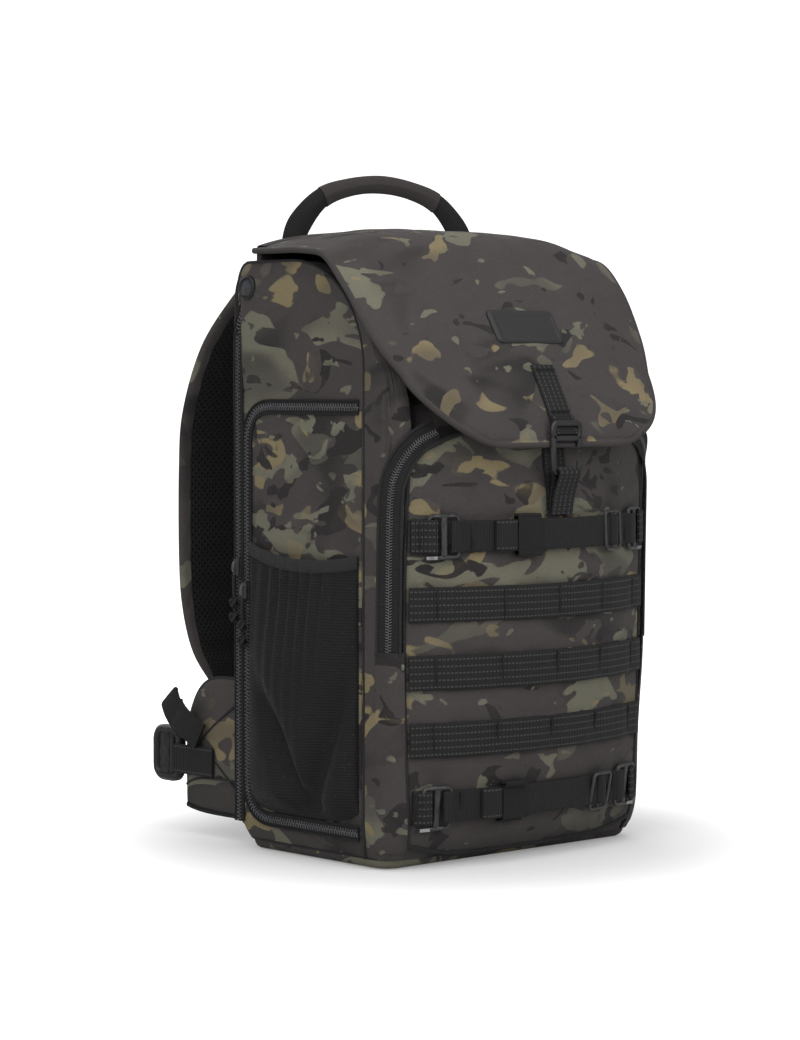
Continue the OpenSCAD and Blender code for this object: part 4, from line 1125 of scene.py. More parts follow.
def make_pulls():
    """Cord pulls: a cord down from each slider, with two knots wound as trefoils."""
    for name, y, z0 in (("door", DOOR_REAR + 2.0, DOOR_SLIDER_Z), ("rear", 87.5, REAR_SLIDER_Z)):
        x = -HALF_W - 6.2
        route = np.array([[x - 0.6, y, z0 + 1.2], [x - 0.9, y, z0 - 4], [x - 0.2, y + 0.6, z0 - 12],
                          [x, y + 0.2, z0 - 20], [x, y, z0 - 28], [x, y, z0 - 37]])
        line = along(route, 26)
        strand = Piece(f"{name}_pull_cord")
        strand.sweep(line, BACK, round_profile(1.6, 10), "cord braid")
        cord = strand.done(f"{name}_pull", [f"{name}_pull"])
        knot = Piece(f"{name}_pull_knot")
        t = np.linspace(0, 2 * np.pi, 48, endpoint=False)
        for z, size in ((z0 - 22, 3.2), (z0 - 34, 3.6)):
            wide = size * 0.62 * (1 + 0.3 * np.cos(3 * t))
            wind = np.stack([wide * np.cos(2 * t), wide * np.sin(2 * t), size * 0.8 * np.sin(3 * t)], 1)
            knot.sweep(wind + [x - 1.0, y, z], unit(wind), round_profile(1.5, 8), "cord braid", ring=True)
        knots = knot.done(f"{name}_pull")


def make_plug():
    """Port plug on the side: a rubber ring with a dished middle on a turned profile."""
    y, z = HALF_D - 17, BAG_H - 29
    profile = np.array([[0, 0.9], [2, 0.8], [5, 0.9], [6.2, 1.6], [7.2, 2.9], [8.6, 3.0], [9.6, 2.3],
                        [10, 1.0], [10, -1.0]])
    t = np.linspace(0, 2 * np.pi, 40, endpoint=False)[:, None]
    points = np.stack([-HALF_W - 3.2 - profile[:, 1] + 0 * t, y + profile[:, 0] * np.cos(t),
                       z + profile[:, 0] * np.sin(t)], -1)
    plug = Piece("port_plug_rubber")
    plug.grid(points[:, 3:], "moulded plastic", wrap=(True, False), flip=True)
    plug.grid(points[:, :4], "plug rubber", wrap=(True, False), flip=True)
    plug.done("bag", ["port_plug"])


# The flap's middle profile: y, z, drop at its side edges and half width
FLAP_LINE = np.array([
    [73.5, 508, 14.9, 142], [40, 510, 18, 149], [0, 510, 18.9, 153], [-40, 501, 17.1, 157],
    [-70, 470.9, 16.2, 157], [-97.95, 428.9, 16.2, 151], [-115.97, 397, 13, 138],
    [-137, 355.9, 4.1, 114.5], [-143, 335, 0, 66]])
FLAP_END = 8
FLAP_ROW = 42
FLAP_HOOK_Y = -HALF_D - 55.4


def flap_width(u):
    """Half width of the flap at u; below its sixth row it follows a rounded end."""
    row = curve(FLAP_LINE, np.ravel(u))
    drop = np.clip((FLAP_LINE[6, 1] - row[:, 1]) / (FLAP_LINE[6, 1] - FLAP_LINE[8, 1]), 0, 1)
    end = 62 + (FLAP_LINE[6, 3] - 62) * np.sqrt(1 - drop**1.5)
    return np.where(np.ravel(u) > 6, end, row[:, 3]).reshape(np.shape(u))


def on_flap(x, u, off):
    """Points of the flap: its middle profile at u, dropped by the cube of x, off along the normal."""
    shape = np.broadcast(x, u, off).shape
    flat = np.broadcast_to(u, shape).ravel()
    p = curve(FLAP_LINE, flat)
    d = curve(FLAP_LINE, np.minimum(flat + 0.02, FLAP_END)) - curve(FLAP_LINE, np.maximum(flat - 0.02, 0))
    n = unit(np.stack([d[:, 1], -d[:, 0]], 1))
    xx = np.broadcast_to(x, shape).ravel()
    k = np.broadcast_to(off, shape).ravel() - p[:, 2] * np.abs(xx / p[:, 3]) ** 3
    return np.stack([xx, p[:, 0] + n[:, 0] * k, p[:, 1] + n[:, 1] * k], 1).reshape(shape + (3,))


def flap_out(x, u):
    """Outward direction of the flap's middle profile at u."""
    return unit(on_flap(x, u, np.ones_like(u)) - on_flap(x, u, np.zeros_like(u)))


def make_flap(sizes):
    """Roll-over flap as one sheet with a bound edge, and the cloth strip that hinges it to the hood."""
    u = np.linspace(0, FLAP_END, 141)[:, None]
    k = np.sin(np.linspace(-np.pi / 2, np.pi / 2, 85))[None] * 0.35 + np.linspace(-1, 1, 85)[None] * 0.65
    x = k * flap_width(u)
    calm = (1 - np.abs(k) ** 8) * step_up(0, 0.5, u) * step_up(FLAP_END, FLAP_END - 0.5, u)
    creases = 1.3 * wobble(x, FLAP_ROW * u, 72, 0.9) + 0.5 * wobble(x, FLAP_ROW * u, 31, 2.6)
    off = sizes.crease * calm * creases
    hem = np.maximum(np.exp(-(((1 - np.abs(k)) * flap_width(u) - 7) / 2.2) ** 2),
                     np.exp(-((FLAP_ROW * (FLAP_END - u) - 8) / 2.4) ** 2))
    outer = on_flap(x, u, off - 0.8 * hem)
    inner = on_flap(x, u, off * 0.8 - 3.4)
    length = run(curve(FLAP_LINE, u[:, 0])[:, :2])
    flap = Piece("flap_cloth")
    flap.shell(outer, inner, "flap cloth", "lining",
               uv=np.stack([x + FLAP_PRINT, length[:, None] + 0 * x], -1))
    middle = on_flap(x, u, off - 1.7)
    rim = even(np.concatenate([middle[:, 0], middle[-1, 1:-1], middle[::-1, -1]]), 260)
    way = heading(rim)
    up = np.where(np.abs(way[:, :1]) > 0.9, [[0, -0.6, 0.8]], RIGHT)
    flap.sweep(rim, unit(up - way * (up * way).sum(1, keepdims=True)), round_profile(2.5, 12), "hem cloth")
    cloth = flap.done(None, ["flap_top", "flap_front"])
    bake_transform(cloth)

    x = np.linspace(-138, 138, 61)[:, None]
    route = along(np.array([[74.0, 487], [74.2, 497], [74.2, 505], [73.4, 508.9], [71, 509.7],
                            [65, 509.4]]), 44)
    drop = FLAP_LINE[0, 2] * np.abs(x / FLAP_LINE[0, 3]) ** 3
    skin = np.stack([x + 0 * route[:, 0], route[:, 0] + 0 * x, route[:, 1] - drop], -1)
    hinge = Piece("flap_hinge_cloth")
    hinge.shell(skin, skin - [0, 0.7, 0.7], "hem cloth")
    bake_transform(hinge.done(None))


def make_flap_patch():
    """Blank patch on the flap: rounded corners and a raised frame round a plain field."""
    patch = Piece("flap_patch_rubber")
    a, b = np.linspace(-1, 1, 61)[None], np.linspace(-1, 1, 35)[:, None]
    near = np.minimum((1 - np.abs(a)) * 37, (1 - np.abs(b)) * 16)
    frame_lift = step_up(0, 0.8, near) * (1.0 + 0.8 * step_up(1.6, 2.4, near) * step_up(5.2, 4.4, near))
    at = 5.05 + 0.37 * b
    wide = 32 + np.sqrt(25 - np.maximum(16 * np.abs(b) - 11, 0) ** 2)
    skins = [on_flap(wide * a, at + 0 * a, d) for d in (0.6 + frame_lift, np.full(near.shape, -0.6))]
    patch.shell(skins[0], skins[1], "patch rubber")
    patch.done("flap_front", ["flap_patch"])


def make_flap_strap():
    """Strap down the flap's middle, doubled at its lower end where it holds the hook."""
    strap = Piece("flap_strap_tape")
    at = np.linspace(6.0, 7.62, 40)
    path = on_flap(np.zeros(40), at, 1.7 + 0.8 * step_up(7.2, 7.6, at))
    out = flap_out(np.zeros(40), at)
    strap.sweep(path, out, flat_profile(STRAP_W, WEB_T, 0.2), "row webbing", across=RIGHT)
    over = path[-16:] + out[-16:] * 2.1
    strap.sweep(over, out[-16:], flat_profile(STRAP_W, WEB_T, 0.2), "stitched webbing", across=RIGHT)
    bars = on_flap(np.zeros(2), np.array([6.12, 6.9]), np.full(2, 2.9))
    axes = np.array([[[21.0, 0, 0], [0, 0.8, 0], [0, -0.7, 1.6]]] * 2)
    strap.stamp(CUBE, CUBE_FACES, bars, axes, "thread bars")
    strap.done("flap_front", ["flap_strap"])


def make_flap_hook():
    """Open hook: a rounded frame with a slot for the strap, one long leg, a foot and a short return tip."""
    y, low = FLAP_HOOK_Y, 309.5
    hook = Piece("flap_hook_metal")
    profile = bar_profile(5.4, 3.4, 1.2)
    # A little bare metal on the profile's outer corners: painted highlight along the hook's edges.
    painted_edge_shine = np.where(np.abs(profile).sum(1) > 3.6, 0.04, 0.0)

    def bar(corners, radius, ring=False):
        flat = rounded_line(corners, radius, 1.2, ring)
        path = np.stack([flat[:, 0], np.full(len(flat), y), flat[:, 1]], 1)
        hook.sweep(path, -BACK, profile, "coated metal", ring, painted_edge_shine)

    bar([(-15, low + 42), (15, low + 42), (15, low + 30), (-15, low + 30)], 5, True)
    bar([(-14.6, low + 32), (-14.9, low + 14), (-13.5, low + 2.1), (12, low + 2.1), (14.8, low + 4.5),
         (14.8, low + 12)], 7)
    bar([(14.9, low + 31), (14.9, low + 23)], 2)
    hook.done("flap_hook", ["flap_hook"])


def make_hook_loop():
    """Strap on the front panel whose loop takes the flap's hook."""
    bar = np.array([FLAP_HOOK_Y, 312.0])
    foot = float(front_depth(0, 280))
    sewn = np.stack([front_depth(0, np.linspace(345, 283, 30)) - 1.4, np.linspace(345, 283, 30)], 1)
    turn = np.radians(np.linspace(-25, 205, 16))
    over = bar + 4.2 * np.stack([np.cos(turn), np.sin(turn)], 1)
    route = np.vstack([[[foot - 3.4, 279], [foot - 4.6, 290]], over[::3],
                       [[foot - 9.5, 296], [foot - 6.0, 279]]])
    loop = Piece("hook_loop_tape")
    for line in (sewn, along(route, 70)):
        path = at_x(0, line)
        out = unit(np.cross(heading(path), RIGHT))
        loop.sweep(path, out, flat_profile(STRAP_W - 1, 1.5, 0.1), "row webbing", across=RIGHT)
    loop.done("bag", ["hook_loop_strap"])


def place_on_front(x, z, off):
    """Place and axes of a fitting on the front: along it, up it and out of it."""
    out = front_out(np.array([x]), np.array([z]))[0]
    flat = on_front(np.array([x]), np.array([z]), np.array([0.0]))[0]
    up = unit(UP - out * out[2])
    return flat + out * off, np.cross(up, out), up, out


def frame_bar(piece, place, corners, radius, profile, finish, ring=True, lift=0.0):
    """A bent bar on a fitting's own axes: corners are (along, up) places."""
    p, over, up, out = place
    flat = rounded_line(corners, radius, 1.2, ring)
    path = p + flat[:, :1] * over + flat[:, 1:] * up + out * lift
    # The profile's outer corners get a little bare metal: painted highlight along the bar's edges.
    edge = np.abs(profile).sum(1)
    piece.sweep(path, out, profile, finish, ring, np.where(edge > edge.max() * 0.92, 0.05, 0.0))


def make_anchors(k, name):
    """Sewn anchor loops at both ends of an accessory strap: a flat tape and one that rises over it."""
    z0 = row_z(k)
    anchors = Piece(f"{name}_anchor_tapes")
    for s in (-1, 1):
        ends = np.array([row_end(k), 111.5]) * s
        front_strip(anchors, *ends, z0, z0 + ROW_W, lambda x: np.full_like(x, GAP), "row webbing", count=16)
        front_strip(anchors, *ends, z0 + 0.4, z0 + ROW_W - 0.4,
                    lambda x: 2.4 + 3.4 * step_up(123, 117, np.abs(x)), "row webbing", count=24)
    bar_tacks(anchors, [-124, 124], k, 4.6)
    anchors.done("bag", [f"{name}_anchor_loops"])


def make_hooks(k, name):
    """Metal hooks in the anchor loops: a bent bar with an open end, a cross bar and a bare-metal tip that is
    partly wear and partly a painted highlight.
    """
    hooks = Piece(f"{name}_hook_metal")
    a, b = 12.4, ROW_W / 2 + 2.4
    for s in (-1, 1):
        spot = place_on_front(s * HOOK_X, row_z(k) + ROW_W / 2, 4.4)
        loop = [(s * a, -b + 9), (s * a, b), (-s * a, b), (-s * a, -b), (s * (a + 1.5), -b - 0.8)]
        frame_bar(hooks, spot, loop, 4, bar_profile(3.4, 3.0, 0.9), "coated metal", False)
        frame_bar(hooks, spot, [(0, -b + 1), (0, b - 1)], 1, bar_profile(5.2, 2.2, 0.7), "coated metal",
                  False, 0.6)
        # The tip is all bare metal: wear, and a painted highlight on the tip.
        tip = spot[0] + s * (a - 2) * spot[1] - (b + 0.6) * spot[2] + 1.2 * spot[3]
        axes = np.stack([9.0 * spot[1], 2.6 * spot[2], 1.4 * spot[3]])[None]
        hooks.stamp(CUBE, CUBE_FACES, tip[None], axes, "coated metal", 1.0)
    hooks.done(f"{name}_strap", [f"{name}_hooks"])


def make_strap(k, name, glide_x):
    """Accessory strap: the run between its hooks, a doubled tail, the turn at the slider, a rolled end."""
    low, high = row_z(k) + 1.2, row_z(k) + 1.2 + STRAP_W
    strap = Piece(f"{name}_strap_tape")
    front_strip(strap, -101, 101, low, high, lambda x: 2.6 + 3.4 * step_up(88, 95, np.abs(x)),
                "strap webbing", count=110)
    front_strip(strap, -64, glide_x, low + 0.2, high - 0.2,
                lambda x: 4.8 + 1.2 * step_up(glide_x - 14, glide_x - 4, x), "strap webbing", count=70)
    front_strip(strap, glide_x - 4.5, glide_x + 6, low + 0.4, high - 0.4,
                lambda x: 5.5 + 3.6 * np.sqrt(np.clip(1 - ((x - glide_x - 0.7) / 5.6) ** 2, 0, 1)),
                "strap webbing", count=24)
    front_strip(strap, -65, -46, low + 0.3, high - 0.5,
                lambda x: 4.9 + 3.4 * np.sqrt(np.clip(1 - ((x + 55.5) / 9.6) ** 2, 0, 1)),
                "stitched webbing", count=24)
    bar_tacks(strap, [-84, 88], k, 4.9, STRAP_W - 2)
    strap.done(f"{name}_strap", [f"{name}_strap"])


def make_glide(k, name, glide_x):
    """Flat metal slider of an accessory strap: a rounded frame with a middle bar."""
    glide = Piece(f"{name}_triglide_metal")
    spot = place_on_front(glide_x, row_z(k) + 1.2 + STRAP_W / 2, 7.6)
    a, b = 11.4, STRAP_W / 2 + 2.6
    frame_bar(glide, spot, [(-a, -b), (a, -b), (a, b), (-a, b)], 4, bar_profile(3.0, 2.4, 0.8),
              "coated metal")
    frame_bar(glide, spot, [(0, -b), (0, b)], 1, bar_profile(3.0, 2.2, 0.7), "coated metal", False, -0.6)
    glide.done(f"{name}_strap", [f"{name}_triglide"])


def make_keeper(k, name):
    """Band that holds a strap's tail down: its crowned face and its two sides."""
    low, high = row_z(k), row_z(k) + STRAP_W
    keeper = Piece(f"{name}_keeper_tape")
    front_strip(keeper, -46, -24, low - 0.2, high + 2.6, lambda x: 7.2 + 0.8 * np.sin((x + 46) / 22 * np.pi),
                "keeper band", 1.6, 16)
    for z in (low - 0.9, high + 3.2):
        front_strip(keeper, -46, -24, z - 0.8, z + 0.8, lambda x: np.full_like(x, 2.8), "keeper band", 6.4,
                    16)
    keeper.done(f"{name}_strap", [f"{name}_keeper"])


def make_accessory_straps():
    """The two outer straps: anchor loops, metal hooks, webbing, a slider and a keeper each."""
    for k, name, glide_x in ((4, "upper", 63), (0, "lower", 67)):
        make_anchors(k, name)
        make_hooks(k, name)
        make_strap(k, name, glide_x)
        make_glide(k, name, glide_x)
        make_keeper(k, name)


def make_door(sizes):
    """Side door: one padded cloth with soft creases."""
    y = np.linspace(DOOR_Y + 0.6, DOOR_REAR - 0.6, 60)[:, None]
    z = np.linspace(DOOR_LOW + 0.6, DOOR_HIGH - 0.6, 110)[None]
    edge = np.minimum(np.minimum(y - DOOR_Y, DOOR_REAR - y), np.minimum(z - DOOR_LOW, DOOR_HIGH - z))
    puff = 4.2 * step_up(0, 34, edge) * step_up(225, 260, z)
    creases = wobble(y, z, 64, 0.6) + 0.5 * wobble(y, z, 29, 1.9)
    puff = puff + sizes.crease * creases * step_up(0, 14, edge)
    yy, zz = np.broadcast_arrays(y, z)
    door = Piece("side_door_cloth")
    door.shell(np.stack([-HALF_W - puff, yy, zz], -1),
               np.stack([np.full(zz.shape, -HALF_W + 4.6), yy, zz], -1), "door cloth", "lining",
               uv=np.stack([-yy + SIDE_PRINT, zz], -1))
    door.done("side_door", ["side_door"])


def make_pockets():
    """Gathered bottle pocket on each side: an arched net with two deep folds, and its elastic binding."""
    length, middle, bulge = DOOR_REAR - DOOR_Y - 6, (DOOR_REAR + DOOR_Y) / 2 + 1, 18
    v = np.linspace(-1, 1, 181)[:, None]
    t = np.linspace(0, 1, 100)[None]
    mouth = 244 + 3.5 * v - 8 * (1 - v**2)
    floor = 34.5 + 9 * np.abs(v) ** 5
    height = floor + (mouth - floor) * t
    arch = np.sqrt(np.clip(1 - v**2, 0, 1)) ** 1.1
    gather = 2.7 * np.sin(27 * v + 2.4 * np.sin(3 * v)) * np.exp(-((1 - t) / 0.26)) * arch
    gather = gather * (0.25 + 0.75 * step_up(1, 0.92, t))
    valley = sum(-13 * np.exp(-(((v + 0.26 - lean * t) / 0.19) ** 2)) * step_up(0, 0.05, t)
                 * step_up(reach, reach / 2, t)
                 for lean, reach in ((1.8, 0.62), (-1.15, 0.8)))
    sag = 1.6 * wobble(40 * v, 150 * t, 52, 0.5) * step_up(0, 0.1, t) * arch
    round_base = step_up(0, 0.10, t) ** 0.5
    full = bulge * arch * (0.42 + 0.58 * step_up(1.12, 0.5, t)) * round_base
    stand = 0.8 + full + (gather + valley + sag) * arch * round_base
    for sign, side, body in ((-1, "left", "side_door"), (1, "right", "bag")):
        yy = middle + length / 2 * v + 0 * t
        clear = 3.4 if sign > 0 else 2.2
        x = sign * (HALF_W + np.maximum(stand, clear * arch + 0.6))
        net = Piece(f"{side}_pocket_mesh_cloth")
        outer = np.stack([x, yy, height], -1)
        net.shell(outer, outer - sign * RIGHT, "pocket mesh", uv=np.stack([yy, height], -1))
        cloth = net.done(body, [f"{side}_pocket_mesh"])
        band = Piece(f"{side}_pocket_binding_tape")
        out = unit(np.stack([np.full(181, sign * 1.0), 0.75 * v[:, 0] ** 3, 0 * v[:, 0]], 1))
        path = outer[:, -1] + out * 0.2 + 1.5 * UP
        band.sweep(path, out, flat_profile(11, 2.4, 0.5), "edge band", across=UP)
        band.done(body, [f"{side}_pocket_binding"])


def pad_outline(turn):
    """Shares (across, out) of a pad's section at each turn round it: a superellipse."""
    across = np.sign(np.cos(turn)) * np.abs(np.cos(turn)) ** 0.55
    out = np.sign(np.sin(turn)) * np.abs(np.sin(turn)) ** 0.8
    return across, out


def padded_band(piece, line, x, count, face, lining, quilt):
    """Padded strap along rows of (y, z, half width, half thickness); gives its line and outward way."""
    row = along(np.asarray(line, float), count)
    path = at_x(x, row)
    out = unit(np.cross(RIGHT, heading(path)))
    out = np.where(out[:, 1:2] < 0, -out, out)
    s = run(path)
    a, b = pad_outline(np.linspace(0, 2 * np.pi, 72, endpoint=False))
    swell = 1 + quilt * np.sin(2 * np.pi * s / 27)[:, None] * (np.abs(a) < 0.82)
    shape = np.stack([row[:, 2:3] * a, row[:, 3:4] * b * swell], -1)
    points = path[:, None] + shape[..., :1] * RIGHT + shape[..., 1:] * out[:, None]
    uv = np.stack(np.broadcast_arrays(s[:, None], np.concatenate([a, a[:1]])[None] * row[:, 2:3].max()), -1)
    flip = swept_inside_out(points, False)
    upper = (b > 0.05) | (np.abs(a) > 0.8)
    order = np.concatenate([upper, upper[:1]])
    keep_top = np.broadcast_to((order[:-1] | order[1:])[None], (count - 1, 72))
    piece.grid(points, face, uv, (False, True), flip, True, keep=keep_top)
    piece.grid(points, lining, uv, (False, True), flip, keep=~keep_top)
    return path, out


def make_rear_panel():
    """Rear panel with rounded corners and a bound edge, over its stiffener."""
    half = HALF_W - 0.5
    outline = rounded_line([(-half, BASE_T + 2), (half, BASE_T + 2), (half, BAG_H - 6), (-half, BAG_H - 6)],
                           34, 5, True)
    centre = np.array([0, (BASE_T + BAG_H) / 2])
    scale = np.concatenate([np.linspace(0, 0.9, 16), np.linspace(0.93, 1, 6)])
    panel = Piece("rear_panel_cloth")
    rim = 1 - np.clip((scale - 0.93) / 0.07, 0, 1) ** 2
    flat = centre + (outline - centre)[:, None] * scale[None, :, None]
    thick = HALF_D + 3.4 + 1.3 * np.sqrt(rim)
    face = np.stack([flat[..., 0], np.broadcast_to(thick, flat.shape[:2]), flat[..., 1]], -1)
    inside = np.stack([flat[..., 0], np.full(flat.shape[:2], HALF_D + 0.5), flat[..., 1]], -1)
    panel.grid(face, "lining", wrap=(True, False), flip=True)
    panel.grid(inside, "lining", wrap=(True, False))
    edge = np.stack([outline[:, 0], np.full(len(outline), HALF_D + 2.2), outline[:, 1]], 1)
    panel.sweep(edge, BACK, round_profile(2.0, 8), "binding", ring=True)
    panel.done("rear_panel", ["rear_panel", "frame_sheet"])


def make_pads():
    """Back pads and lumbar pad: crowned mesh with drawn-in sides and a bound edge."""
    places = enumerate([(-62, 217), (62, 217), (-62, 359), (62, 359)])
    pads = [("back_pads", f"back_pad_{i}", x, 46, z, 65, 13) for i, (x, z) in places]
    pads.append(("lumbar_pad", "lumbar_pad_mesh", 0, 72, 82, 56, 16))
    for node, name, x, w, z, h, t in pads:
        a, b = np.linspace(-1, 1, 61)[:, None], np.linspace(-1, 1, 61)[None]
        crown = t * (0.12 + 0.88 * ((1 - np.abs(a) ** 5) * (1 - np.abs(b) ** 5)) ** 0.45)
        groove = 2.6 * np.exp(-((a * w / 2.6) ** 2)) if node == "lumbar_pad" else 0.0
        crown = crown - groove * (1 - b**4) - 0.6 * wobble(a * w, b * h, 40, 1.0) * (1 - a**4) * (1 - b**4)
        xx = x + w * a * (1 - 0.05 * (1 - b**2))
        zz = z + h * b * (1 - 0.04 * (1 - a**2))
        pad = Piece(name)
        skin = np.stack([np.broadcast_to(xx, crown.shape), PAD_Y + np.maximum(crown, 1.2),
                         np.broadcast_to(zz, crown.shape)], -1)
        back = np.stack([skin[..., 0], np.full(crown.shape, PAD_Y + 0.2), skin[..., 2]], -1)
        pad.shell(skin, back, "spacer mesh", "lining")
        loop = np.concatenate([skin[:, 0], skin[-1, 1:], skin[-2::-1, -1], skin[0, -2:0:-1]])
        pad.sweep(loop + [0, 0.4, 0], BACK, round_profile(1.8, 8), "binding", ring=True)
        pad.done("rear_panel",
                           [node] if name in ("back_pad_0", "lumbar_pad_mesh") else [])


def make_yoke():
    """Yokes that the shoulder straps hang from, and the tabs that take their lower webbing."""
    yoke = Piece("strap_yoke_cloth")
    for s in (-1, 1):
        u = np.linspace(-1, 1, 25)[:, None]
        side = [(PAD_Y + 0.4, BAG_H - 4), (PAD_Y + 8, BAG_H - 5), (STRAP_AXIS_Y + 10, YOKE_Z + 6),
                (STRAP_AXIS_Y + 11, YOKE_Z + 1), (STRAP_AXIS_Y, YOKE_Z + 0.8), (PAD_Y + 0.4, YOKE_Z + 0.8)]
        loop = rounded_line(side, 4, 1.6, True)
        mid = loop.mean(0)
        shrink = np.where(np.abs(u) > 0.96, 0.9, 1.0)[..., None]
        points = np.concatenate([np.broadcast_to(s * STRAP_X + 27.5 * u[:, :, None], (25, len(loop), 1)),
                                 mid + (loop - mid)[None] * shrink], -1)
        yoke.grid(points, "printed cloth", wrap=(False, True), flip=swept_inside_out(points, False),
                  ends=True)
    yoke.done("rear_panel", ["strap_yoke"])

    tabs = Piece("strap_anchor_tapes")
    for s in (-1, 1):
        path = along(np.array([[s * STRAP_X, PAD_Y + 0.3, 40], [s * STRAP_X, PAD_Y + 10, 40],
                               [s * STRAP_X, STRAP_AXIS_Y + 5, 40]]), 12)
        tabs.sweep(path, UP, flat_profile(29, 7.4, 0.0, 6), "stitched webbing")
    tabs.done("rear_panel", ["strap_anchors"])


# Shoulder strap from its yoke down: y, z, half width and half thickness; then its lock and lower webbing
SHOULDER_LINE = [
    (110, 469.4, 25, 5.6), (129.3, 451.8, 30.5, 6.4), (163.8, 412.2, 34.5, 6.6), (188.6, 358.9, 34.5, 6.6),
    (194, 309.7, 34.5, 6.6), (194, 229.2, 34.5, 6.6), (192.7, 187.9, 31.5, 6.4), (188.1, 153.5, 24.5, 6.0),
    (177.4, 126.6, 14, 3.6)]
LOCK_LINE = [(177.1, 125.7), (171.1, 110.6)]
LOWER_LINE = [(171, 110.3), (168.1, 103.1), (135.9, 85.5), (117.6, 57.8), (110.4, 44.6)]


def make_ladder_lock(x, name):
    """Ladder lock between a pad and its lower webbing: three cross bars and two rails."""
    lock = Piece(f"{name}_ladder_lock_plastic")
    start, stop = np.array(LOCK_LINE)
    way = unit(stop - start)
    out = np.array([0, way[1], -way[0]])
    for at, thick in ((0.08, 3.4), (0.5, 3.2), (0.94, 3.8)):
        p = start + (stop - start) * at
        bar = np.array([[x - 15, *p], [x, *p], [x + 15, *p]])
        lock.sweep(bar, out, bar_profile(thick, 4.6, 1.2), "moulded plastic", wear=0.3)
    for k in (-1, 1):
        rail = np.array([[x + k * 14.4, *p] for p in (start, (start + stop) / 2, stop)])
        lock.sweep(rail, out, bar_profile(3.0, 5.4, 1.2), "moulded plastic", wear=0.3)
    lock.done(f"{name}_strap", [f"{name}_ladder_lock"])


def make_shoulder_straps():
    """Padded shoulder straps, printed cloth outside and spacer mesh inside, webbing and ladder locks."""
    for s, name in ((-1, "left"), (1, "right")):
        x = s * STRAP_X
        pad = Piece(f"{name}_shoulder_pad")
        path, out = padded_band(pad, SHOULDER_LINE, x, 150, "printed cloth", "spacer mesh", 0.05)
        pad.done(f"{name}_strap", [f"{name}_shoulder_strap"])
        web = Piece(f"{name}_strap_tapes")
        sewn, bars = slice(30, 128), [44, 62, 84]
        web.sweep((path + out * 7.6)[sewn], out[sewn], flat_profile(25, 1.8, 0.2), "stitched webbing",
                  across=RIGHT)
        axes = np.stack([np.tile(23 * RIGHT, (3, 1)), 2.0 * heading(path)[bars], out[bars]], 1)
        web.stamp(CUBE, CUBE_FACES, path[bars] + out[bars] * 8.9, axes, "thread bars")
        line = at_x(x, along(np.array(LOWER_LINE, float), 40))
        normal = unit(np.cross(RIGHT, heading(line)))
        web.sweep(line, normal, flat_profile(25, 1.9, 0.1), "strap webbing", across=RIGHT)
        web.done(f"{name}_strap", [f"{name}_strap_webbing"])
        make_ladder_lock(x, name)


# Hip wings: the middle of their thickness, root, reach, lower edge, height and half thickness
WING_X = HALF_W - 17
WING_ROOT = PAD_Y + GAP
WING_REACH = 85
WING_TIP = WING_ROOT + WING_REACH
WING_LOW = 22
WING_H = 114
WING_T = 7.4


def make_hip_wing(s, name):
    """Hip wing: a padded fin that thins towards its rounded tip, with three sewn lines and a bound edge."""
    reach = WING_REACH * (1 - np.cos(np.linspace(0, np.pi / 2, 60)))[:, None]
    a, b = pad_outline(np.linspace(0, 2 * np.pi, 64, endpoint=False)[None])
    q = reach / WING_REACH
    z0, z1 = WING_LOW + 4 * q**6, WING_LOW + WING_H - 52 * q**6
    fat = WING_T * np.sqrt(np.clip(1 - (1 - np.clip(reach / 8, 0, 1)) ** 2, 0.02, 1)) * (1 - 0.45 * q**2)
    fat = fat * np.sqrt(np.clip((WING_REACH - reach) / 6, 0.03, 1))
    groove = 1 - 0.22 * np.exp(-(((np.abs(a) - 0.55) / 0.07) ** 2))
    points = np.stack([s * (WING_X + fat * b * groove), WING_ROOT + reach + 0 * a,
                       (z0 + z1) / 2 + (z1 - z0) / 2 * a], -1)
    wing = Piece(f"{name}_hip_wing_pad")
    outside = np.broadcast_to((np.roll(b, -1, 1) + b > 0), (59, 64))
    flip = swept_inside_out(points, False)
    height = np.concatenate([a, a[:, :1]], 1) * WING_H / 2
    uv = np.stack(np.broadcast_arrays(reach + WING_PRINT, height), -1)
    lower = np.broadcast_to(a < -0.52, (59, 64))
    wing.grid(points, "flap cloth", uv, (False, True), flip, True, keep=outside & ~lower)
    wing.grid(points, "hem cloth", uv, (False, True), flip, keep=outside & lower)
    wing.grid(points, "spacer mesh", uv, (False, True), flip, keep=~outside)
    for edge, radius, cloth in ((points[:, 0], 1.8, "binding"), (points[:, 32], 3.2, "pocket mesh")):
        wing.sweep(edge[2:-1], s * RIGHT, round_profile(radius, 8), cloth)
    for ends in (((0.05, 0.72), (0.9, -0.1)), ((0.05, -0.7), (0.75, 0.1)), ((0.05, -0.48), (0.97, -0.5))):
        rows, across = along(np.array(ends), 30).T
        out, low, high, half = (np.interp(rows, q[:, 0], part[:, 0]) for part in (reach, z0, z1, fat))
        bow = np.sqrt(np.clip(1 - np.abs(across) ** 3.6, 0, 1)) ** 0.8
        seam = np.stack([s * (WING_X + half * bow + 0.2), WING_ROOT + out,
                         (low + high) / 2 + (high - low) / 2 * across], 1)
        wing.sweep(seam, s * RIGHT, round_profile(0.9, 8), "binding")
    wing.done(f"{name}_wing", [f"{name}_hip_wing"])


